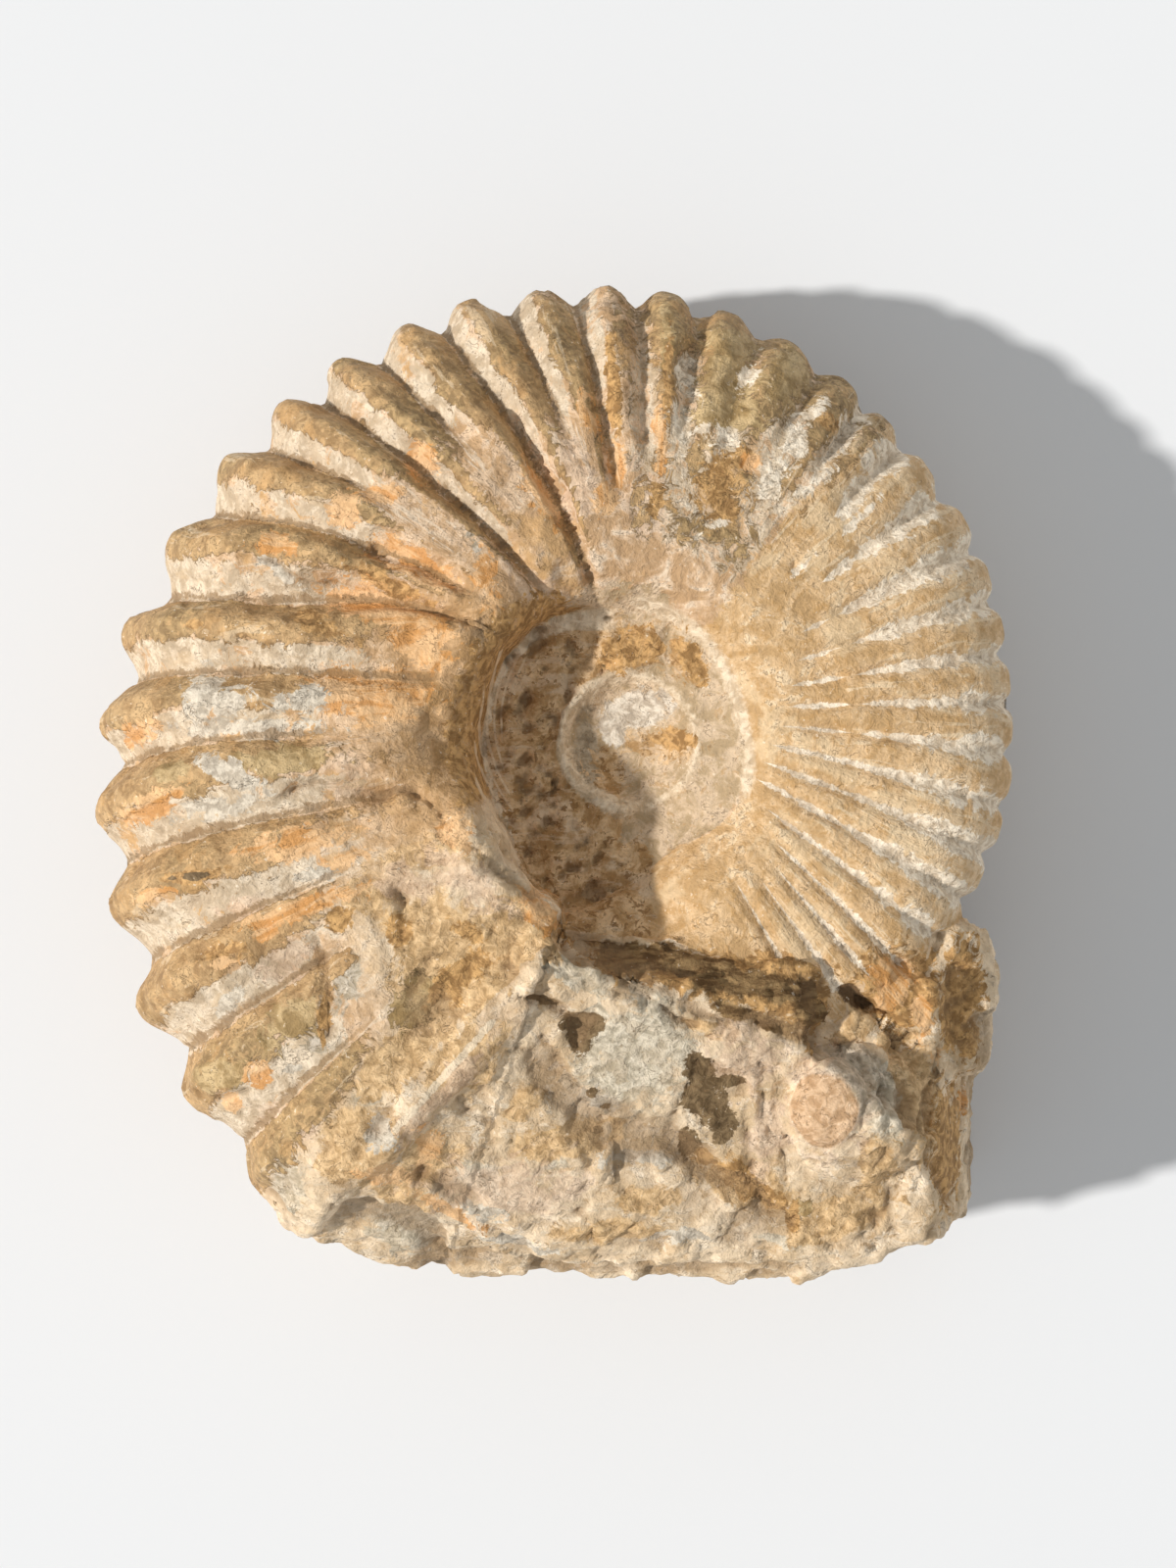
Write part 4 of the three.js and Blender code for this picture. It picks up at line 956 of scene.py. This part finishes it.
# Surfaces: a pattern, the colours where it is low and where it is high, and flecks over them: a
# pattern, the levels where they start and are full, how much they cover, and their colour.
SURFACES = {
    "rock": (
        "cloudy", (0.67, 0.485, 0.295), (0.86, 0.67, 0.46),
        ("blotchy", 0.54, 0.58, 0.75, (0.88, 0.73, 0.55)),
        ("lacy", 0.57, 0.63, 0.65, (0.52, 0.33, 0.16)),
    ),
    "grey rock": ("patchy", (0.50, 0.42, 0.30), (0.73, 0.63, 0.48)),
    "bared": ("patchy", (0.46, 0.28, 0.12), (0.74, 0.50, 0.26)),
    "ribs": (
        "blotchy", (0.54, 0.34, 0.18), (0.72, 0.51, 0.33),
        ("along rib", 0.54, 0.6, 0.6, (0.78, 0.64, 0.48)),
        ("cloudy", 0.55, 0.62, 0.6, (0.60, 0.36, 0.15)),
    ),
    "cream": (
        "blotchy", (0.53, 0.405, 0.27), (0.74, 0.605, 0.445),
        ("along rib", 0.56, 0.61, 0.55, (0.60, 0.44, 0.27)),
        ("cloudy", 0.53, 0.57, 0.5, (0.60, 0.46, 0.31)),
    ),
    "grey ribs": ("patchy", (0.38, 0.30, 0.20), (0.60, 0.51, 0.40)),
    "ochre": (
        "blotchy", (0.56, 0.35, 0.16), (0.72, 0.49, 0.27),
        ("patchy", 0.55, 0.6, 0.6, (0.47, 0.27, 0.10)),
        ("along rib", 0.56, 0.6, 0.5, (0.84, 0.67, 0.45)),
        ("cloudy", 0.54, 0.62, 0.5, (0.80, 0.61, 0.38)),
    ),
    "navel": (
        "blotchy", (0.46, 0.33, 0.19), (0.64, 0.48, 0.32),
        ("patchy", 0.57, 0.63, 0.7, (0.46, 0.29, 0.14)),
    ),
    "shadow": ("patchy", (0.34, 0.26, 0.17), (0.50, 0.40, 0.28)),
    "earth": (
        "blotchy", (0.44, 0.26, 0.11), (0.70, 0.48, 0.27),
        ("cloudy", 0.56, 0.64, 0.7, (0.74, 0.56, 0.38)),
        ("patchy", 0.55, 0.6, 0.85, (0.25, 0.135, 0.05)),
        ("streaky", 0.56, 0.62, 0.5, (0.74, 0.56, 0.38)),
    ),
    "ash": ("patchy", (0.50, 0.41, 0.31), (0.74, 0.65, 0.53)),
    "pale": ("patchy", (0.60, 0.45, 0.29), (0.80, 0.65, 0.47)),
    "pink": ("patchy", (0.58, 0.40, 0.27), (0.74, 0.55, 0.39)),
    "skin": ("blotchy", (0.34, 0.20, 0.085), (0.57, 0.37, 0.18)),
    "faded skin": ("patchy", (0.28, 0.18, 0.08), (0.48, 0.32, 0.15)),
    "moss": ("blotchy", (0.34, 0.22, 0.09), (0.60, 0.43, 0.22)),
    # Painted shade in part: this colour darkens the inner flank that slopes down into the navel.
    "wash_and_shade": ("blotchy", (0.40, 0.23, 0.095), (0.60, 0.37, 0.18)),
    # Painted shade in part: brown laid behind the rock's crest, in its notch and down its right side.
    "brown": ("patchy", (0.33, 0.18, 0.065), (0.61, 0.36, 0.145)),
    # Painted shade in part: dark umber behind the rock's crest and in its notch.
    "umber": ("streaky", (0.13, 0.07, 0.025), (0.34, 0.215, 0.095)),
    "orange": ("along rib", (0.64, 0.30, 0.09), (0.81, 0.50, 0.25)),
    "white": ("patchy", (0.50, 0.42, 0.32), (0.69, 0.60, 0.475)),
    "dark": ("patchy", (0.13, 0.08, 0.035), (0.24, 0.16, 0.08)),
    "chalk": ("patchy", (0.70, 0.56, 0.40), (0.90, 0.77, 0.60)),
    "boss rim": ("patchy", (0.34, 0.28, 0.20), (0.62, 0.52, 0.40)),
    "boss": ("patchy", (0.46, 0.26, 0.12), (0.66, 0.43, 0.25)),
}
# The levels of its pattern between which a surface turns from one colour to the other.
EVEN, SHARP = (0.38, 0.62), (0.42, 0.58)
LEVELS = dict.fromkeys(("rock", "ribs", "cream", "navel", "earth", "white"), SHARP)
LEVELS |= dict.fromkeys(("ochre", "ash", "brown"), (0.4, 0.6))
LEVELS |= {"bared": (0.36, 0.64), "umber": (0.4, 0.62), "orange": (0.42, 0.55), "chalk": (0.42, 0.56)}
ROCK_STREAKS = [("streaky", 0.57, 0.62, 0.5, (0.88, 0.74, 0.56))]
SKIN_FLECKS = [
    ("tangled", 0.54, 0.62, 0.5, (0.66, 0.41, 0.19)),
    ("along rib", 0.6, 0.63, 0.5, (0.74, 0.57, 0.37)),
    ("cloudy", 0.57, 0.61, 0.55, (0.52, 0.30, 0.12)),
]
LAST_FLECKS = [("gritty", 0.66, 0.71, 0.5, (0.86, 0.75, 0.60))]
# Layers, from the lowest up: a mark, the surface it shows, the pattern that breaks its outline, how
# far the outline strays, how soft it is, and how much it covers.
LAYERS_UNDER_SKIN = [
    ("weathered", "bared", "blotchy", 1.5, 0.08, 0.9),
    ("ochre", "ochre", "lacy", 1.2, 0.06),
    ("navel", "navel", "lacy", 1.9, 0.06),
    ("shadow grey", "shadow", "blotchy", 1.2, 0.1),
    ("earth", "earth", "lacy", 1.5, 0.06),
    ("ash", "ash", "lacy", 1.2, 0.06),
    ("pale", "pale", "gritty", 0.9, 0.25),
    ("pink", "pink", "blotchy", 2.0, 0.15, 0.65),
]
LAYERS_OVER_SKIN = [
    ("brown", "brown", "lacy", 1.7, 0.05),
    ("umber", "umber", "blotchy", 1.4, 0.08),
    ("orange", "orange", "lacy", 1.9, 0.05, 0.85),
    ("white", "white", "lacy", 2.1, 0.03),
    ("dark", "dark", "lacy", 0.8, 0.03),
]
# The skin's rim colour is a painted shadow along the edge of the raised brown skin.
SKIN_EDGE_SHADOW, PIT_DARK, CRACK_DARK = (0.40, 0.24, 0.11), (0.24, 0.14, 0.06), (0.23, 0.13, 0.055)
# The foot and recess colours are painted shade, at the foot of each coarse rib and in the carved hollows.
FLAKE_BROWN, FOOT_SHADOW, RECESS_SHADE = (0.46, 0.33, 0.19), (0.27, 0.16, 0.07), (0.26, 0.16, 0.08)
CHALK_HAZE, RIM_LINE, VEIN_CREAM = (0.78, 0.62, 0.42), (0.80, 0.62, 0.42), (0.78, 0.64, 0.46)
# The crevice's colour is a painted shadow.
CREVICE_SHADOW = (0.14, 0.08, 0.035)
FLAKE_SIZE = 2.6
RIB_WIDTH = 7  # roughly, for drawing patterns out along the ribs
RIM_LINE_TURNS = 6.4  # radians for each millimetre outwards
BUMP_HEIGHT = 0.65


class Bench:
    """Lays out a material's nodes. Patterns are in the fossil's own millimetres."""

    def __init__(self, name):
        self.material = bpy.data.materials.new(name)
        self.material.use_nodes = True
        self.nodes, self.links = self.material.node_tree.nodes, self.material.node_tree.links
        self.shader = self.nodes["Principled BSDF"]
        scaled = self.node("VectorMath", "SCALE", Scale=1 / MM)
        self.feed(scaled.inputs[0], self.node("TexCoord").outputs["Object"])
        self.where = scaled.outputs[0]
        self.grains = {name: self.grain(*numbers) for name, numbers in GRAINS.items()}
        # Towards the axis, where the ribs are narrow, their drawn-out pattern gives way to a plain one.
        self.grains["along rib"] = self.blend_in(self.rib_grain(1.6, 9), self.grains["blotchy"])

    def node(self, kind, operation=None, **inputs):
        node = self.nodes.new("ShaderNode" + kind)
        if operation:
            node.operation = operation
        for name, value in inputs.items():
            self.feed(node.inputs[name], value)
        return node

    def feed(self, socket, value):
        if hasattr(value, "is_linked"):
            self.links.new(value, socket)
        elif isinstance(value, tuple) and len(value) == 3 and socket.type == "RGBA":
            socket.default_value = (*value, 1)
        else:
            socket.default_value = value

    def sum(self, operation, a, b=0.0, c=0.0):
        node = self.node("Math", operation)
        for socket, value in zip(node.inputs, (a, b, c)):
            self.feed(socket, value)
        return node.outputs[0]

    def times(self, a, b):
        return self.sum("MULTIPLY", a, b)

    def less(self, a, b):
        return self.sum("SUBTRACT", a, b)

    def added(self, rest, value, factor):
        return self.sum("MULTIPLY_ADD", value, factor, rest)

    def mark(self, name):
        node = self.node("Attribute")
        node.attribute_name = name
        return node.outputs["Fac"]

    def noise(self, where, scale, layers, roughness, twist):
        node = self.node(
            "TexNoise", Vector=where, Scale=scale, Detail=layers, Roughness=roughness, Distortion=twist
        )
        return node.outputs["Fac"]

    def grain(self, size, layers, roughness, twist=0.0, squeeze=None):
        """Noise whose lumps are about a size in millimetres; squeezed, it becomes streaks."""
        where = self.where
        if squeeze:
            turn, thin = squeeze
            turn = (0, 0, math.radians(turn))
            where = self.node("Mapping", Vector=where, Rotation=turn, Scale=(thin, 1, thin)).outputs[0]
        return self.noise(where, 1 / size, layers, roughness, twist)

    def rib_grain(self, across, along):
        """Noise drawn out along the ribs, whatever way they run."""
        around = self.times(self.mark("groove"), len(RIBS) * RIB_WIDTH / across)
        outwards = self.times(self.mark("outward"), OUTWARD_SCALE / along)
        where = self.node("CombineXYZ", X=around, Y=outwards).outputs[0]
        return self.noise(where, 1, 5, 0.65, 0.5)

    def blend_in(self, pattern, other):
        outer = self.ease(self.mark("outward"), 0.24, 0.36)
        return self.added(other, self.less(pattern, other), outer)

    def flakes(self, size):
        """Flakes of a size in millimetres, with a height each."""
        bend = self.node("TexNoise", Vector=self.where, Scale=1 / size).outputs["Color"]
        bent = self.node("VectorMath", "MULTIPLY_ADD")
        for socket, value in zip(bent.inputs, (bend, (size, size, size), self.where)):
            self.feed(socket, value)
        cells = self.node("TexVoronoi", Vector=bent.outputs[0], Scale=1 / size)
        return self.node("SeparateColor", Color=cells.outputs["Color"]).outputs[0]

    def ease(self, value, low, high, to_low=0.0, to_high=1.0):
        node = self.node("MapRange")
        node.interpolation_type = "SMOOTHSTEP"
        names = ("Value", "From Min", "From Max", "To Min", "To Max")
        for name, number in zip(names, (value, low, high, to_low, to_high)):
            self.feed(node.inputs[name], number)
        return node.outputs["Result"]

    def mix(self, share, under, over):
        node = self.node("Mix")
        node.data_type = "RGBA"
        self.feed(node.inputs["Factor"], share)
        self.feed(node.inputs[6], under)
        self.feed(node.inputs[7], over)
        return node.outputs[2]

    def ragged(self, mark, grain, spread, edge, most=1.0):
        """Turns a soft mark into a patch with a broken outline."""
        shifted = self.added(mark, self.less(self.grains[grain], 0.5), spread)
        return self.ease(shifted, 0.5 - edge, 0.5 + edge, 0, most)

    def flecked(self, under, flecks):
        for grain, start, full, most, colour in flecks:
            under = self.mix(self.ease(self.grains[grain], start, full, 0, most), under, colour)
        return under

    def surface(self, name):
        grain, dark, light, *flecks = SURFACES[name]
        share = self.ease(self.grains[grain], *LEVELS.get(name, EVEN))
        return self.flecked(self.mix(share, dark, light), flecks)

    def layered(self, under, layers):
        for mark, surface, *outline in layers:
            under = self.mix(self.ragged(self.mark(mark), *outline), under, self.surface(surface))
        return under


def stone_and_ribs(b, flakes):
    """Bare rock, tan with other patches in it, and ribs with cream on the sides that face the mouth."""
    rock = b.layered(b.surface("rock"), [("grey", "grey rock", "blotchy", 1.7, 0.08)])
    rock = b.mix(b.ease(flakes, 0.2, 0.8, 0, 0.36), b.flecked(rock, ROCK_STREAKS), FLAKE_BROWN)
    over_ribs = [("cream", "cream", "lacy", 1.8, 0.03), ("grey", "grey ribs", "lacy", 1.8, 0.08)]
    return b.mix(b.mark("rock"), b.layered(b.surface("ribs"), over_ribs), rock)


def with_skin(b, stone, skinned, moss):
    """The brown skin of the ribs, with a painted shadow along its rim, and what else lies on the stone."""
    skin = b.mix(b.ease(b.mark("fade"), 0.35, 0.8), b.surface("skin"), b.surface("faded skin"))
    # A painted shadow along the edge of the skin.
    rim = b.ragged(b.sum("ADD", b.mark("skin"), 0.07), "lacy", 1.9, 0.05, 0.45)
    stone = b.mix(skinned, b.mix(rim, stone, SKIN_EDGE_SHADOW), b.flecked(skin, SKIN_FLECKS))
    stone = b.mix(moss, stone, b.surface("moss"))
    return b.mix(b.ease(b.mark("wash_and_shade"), 0.05, 0.75, 0, 0.85), stone, b.surface("wash_and_shade"))


def with_chalk(b, stone, to_groove):
    """Chalk in the narrow grooves, with a haze beside it, and chalky patches."""
    reach, lacy = b.mark("chalk_line"), b.grains["lacy"]
    haze = b.ease(b.less(b.times(reach, 5), to_groove), -0.4, 1.2, 0, 0.45)
    stone = b.mix(b.times(haze, b.ease(b.grains["patchy"], 0.42, 0.5)), stone, CHALK_HAZE)
    uneven = b.times(b.less(lacy, 0.5), b.sum("MINIMUM", b.times(reach, 12), 6))
    line = b.ease(b.less(b.added(uneven, reach, 2.5), to_groove), -0.02, 0.1)
    chalky = b.sum("MAXIMUM", line, b.ragged(b.mark("chalk"), "lacy", 1.9, 0.06))
    return b.mix(chalky, stone, b.surface("chalk"))


def with_details(b, stone):
    """Fine lines round the navel's rim, the boss with its rim, the vein and a painted shadow in the crevice.
    """
    rings = b.sum("SINE", b.times(b.mark("outward"), OUTWARD_SCALE * RIM_LINE_TURNS))
    rings = b.times(b.ease(rings, 0.35, 0.8), b.ragged(b.mark("rim lines"), "blotchy", 1.6, 0.15, 0.8))
    stone = b.mix(rings, stone, RIM_LINE)
    ring = b.times(b.ease(b.mark("boss rim"), 0.45, 0.52, 0, 0.7), b.ease(b.mark("boss"), 0.46, 0.5, 1, 0))
    stone = b.mix(ring, stone, b.surface("boss rim"))
    stone = b.mix(b.ease(b.mark("boss"), 0.49, 0.53, 0, 0.8), stone, b.surface("boss"))
    stone = b.mix(b.ragged(b.mark("vein"), "patchy", 1.2, 0.08, 0.8), stone, VEIN_CREAM)
    # Painted shadow in the crevice.
    return b.mix(b.ragged(b.mark("crevice"), "patchy", 0.6, 0.08), stone, CREVICE_SHADOW)


def with_shade_cracks_and_pits(b, stone, to_groove, crack):
    """Painted shadow at the foot of the ribs and painted shade in the hollows, dark cracks, flecks and pits.
    """
    # Painted shadow along the sharp foot of each coarse rib.
    foot_shadow = b.added(b.less(0.42, to_groove), b.less(b.grains["lacy"], 0.5), 2.2)
    stone = b.mix(b.times(b.ease(foot_shadow, 0, 0.2, 0, 0.7), b.mark("foot")), stone, FOOT_SHADOW)
    stone = b.flecked(b.mix(b.times(crack, 0.5), stone, CRACK_DARK), LAST_FLECKS)
    stone = b.mix(b.ease(b.grains["pitted"], 0.3, 0.35, 0.5, 0), stone, PIT_DARK)
    # Painted shade in the carved hollows.
    return b.mix(b.ease(b.mark("recess_shade"), 0.6, 1.0, 0, 0.6), stone, RECESS_SHADE)


def fossil_stone():
    """Weathered stone: tan broken rock, ribs with a brown skin over cream, and chalk in the fine grooves."""
    b = Bench("fossil stone")
    flakes = b.flakes(FLAKE_SIZE)
    blotchy, patchy, gritty, fine = (b.grains[name] for name in ("blotchy", "patchy", "gritty", "fine"))
    rib_turns = b.sum("FRACT", b.times(b.mark("groove"), float(len(RIBS))))
    gap = b.times(b.mark("gap"), GAP_SCALE)
    to_groove = b.times(b.sum("ABSOLUTE", b.less(rib_turns, 0.5)), gap)
    crack = b.ease(b.sum("ABSOLUTE", b.less(b.grains["tangled"], 0.5)), 0.004, 0.014, 1, 0)
    crack = b.times(crack, b.ease(blotchy, 0.54, 0.6))
    skinned = b.ragged(b.mark("skin"), "lacy", 1.9, 0.025)
    moss = b.ragged(b.mark("moss"), "lacy", 1.7, 0.03)

    stone = b.layered(stone_and_ribs(b, flakes), LAYERS_UNDER_SKIN)
    stone = b.layered(with_skin(b, stone, skinned, moss), LAYERS_OVER_SKIN)
    stone = with_details(b, with_chalk(b, stone, to_groove))
    stone = with_shade_cracks_and_pits(b, stone, to_groove, crack)
    # Mottling that is also painted shade and light: the patterns that raise the bump make the colour lighter
    # where the relief is high and darker where it is low.
    mottling_and_shade = b.added(b.added(b.added(0.42, blotchy, 0.35), patchy, 0.45), gritty, 0.35)
    mottled_and_shaded = b.node("VectorMath", "SCALE", Scale=b.added(mottling_and_shade, fine, 0.2))
    b.feed(mottled_and_shaded.inputs[0], stone)
    b.feed(b.shader.inputs["Base Color"], mottled_and_shaded.outputs[0])

    # Matt chalk and rock, a dull sheen on the skin of the ribs.
    sheen = b.ease(b.sum("MAXIMUM", skinned, b.mark("ochre")), 0.2, 0.8, 0.8, 0.62)
    b.feed(b.shader.inputs["Roughness"], b.added(sheen, gritty, 0.2))
    b.feed(b.shader.inputs["Specular IOR Level"], 0.35)
    relief = b.added(b.added(b.times(fine, 0.1), gritty, 0.24), patchy, 0.8)
    relief = b.added(relief, b.grains["along rib"], 0.5)
    relief = b.added(relief, b.times(flakes, b.mark("rock")), 0.85)
    relief = b.added(relief, b.sum("MAXIMUM", skinned, moss), 0.38)
    relief = b.added(relief, crack, -0.25)
    bump = b.node("Bump", Strength=0.9, Distance=BUMP_HEIGHT * MM, Height=relief)
    b.feed(b.shader.inputs["Normal"], bump.outputs[0])
    return b.material


def plain(name, colour, roughness):
    material = bpy.data.materials.new(name)
    material.use_nodes = True
    shader = material.node_tree.nodes["Principled BSDF"]
    shader.inputs["Base Color"].default_value = (*colour, 1)
    shader.inputs["Roughness"].default_value = roughness
    return material


cast.data.materials.clear()
cast.data.materials.append(fossil_stone())


# ---- Floor, light and view ----

FLOOR_COLOUR = (0.82, 0.825, 0.835)
LIGHT_FROM, LIGHT_HEIGHT, LIGHT_WIDTH = 188, 42, 2.8  # degrees
LIGHT_COLOUR, LIGHT_POWER = (1.0, 0.985, 0.96), 3.0
SKY_COLOUR, SKY_POWER = (0.95, 0.98, 1.0, 1), 0.46
CAMERA_AT, LENS, SENSOR = (0.00409, -0.00098, 0.455), 68.05, 36

bpy.ops.mesh.primitive_plane_add(size=3, location=(0, 0, -0.0001))
floor = bpy.context.object
floor.name = "floor"
floor.data.materials.append(plain("pale floor", FLOOR_COLOUR, 0.6))

bpy.ops.object.light_add(type="SUN", location=(-0.4, 0, 0.5))
sun = bpy.context.object
sun.data.energy = LIGHT_POWER
sun.data.angle = math.radians(LIGHT_WIDTH)
sun.data.color = LIGHT_COLOUR
turn, climb = math.radians(LIGHT_FROM), math.radians(LIGHT_HEIGHT)
toward = Vector((
    -math.cos(turn) * math.cos(climb), -math.sin(turn) * math.cos(climb), -math.sin(climb)
))
sun.rotation_euler = toward.to_track_quat("-Z", "Y").to_euler()

world = bpy.data.worlds.new("studio")
bpy.context.scene.world = world
world.use_nodes = True
world.node_tree.nodes["Background"].inputs["Color"].default_value = SKY_COLOUR
world.node_tree.nodes["Background"].inputs["Strength"].default_value = SKY_POWER

bpy.ops.object.camera_add(location=CAMERA_AT, rotation=(0, 0, 0))
camera = bpy.context.object
camera.data.sensor_width = SENSOR
camera.data.lens = LENS
bpy.context.scene.camera = camera
bpy.context.scene.view_settings.view_transform = "Standard"
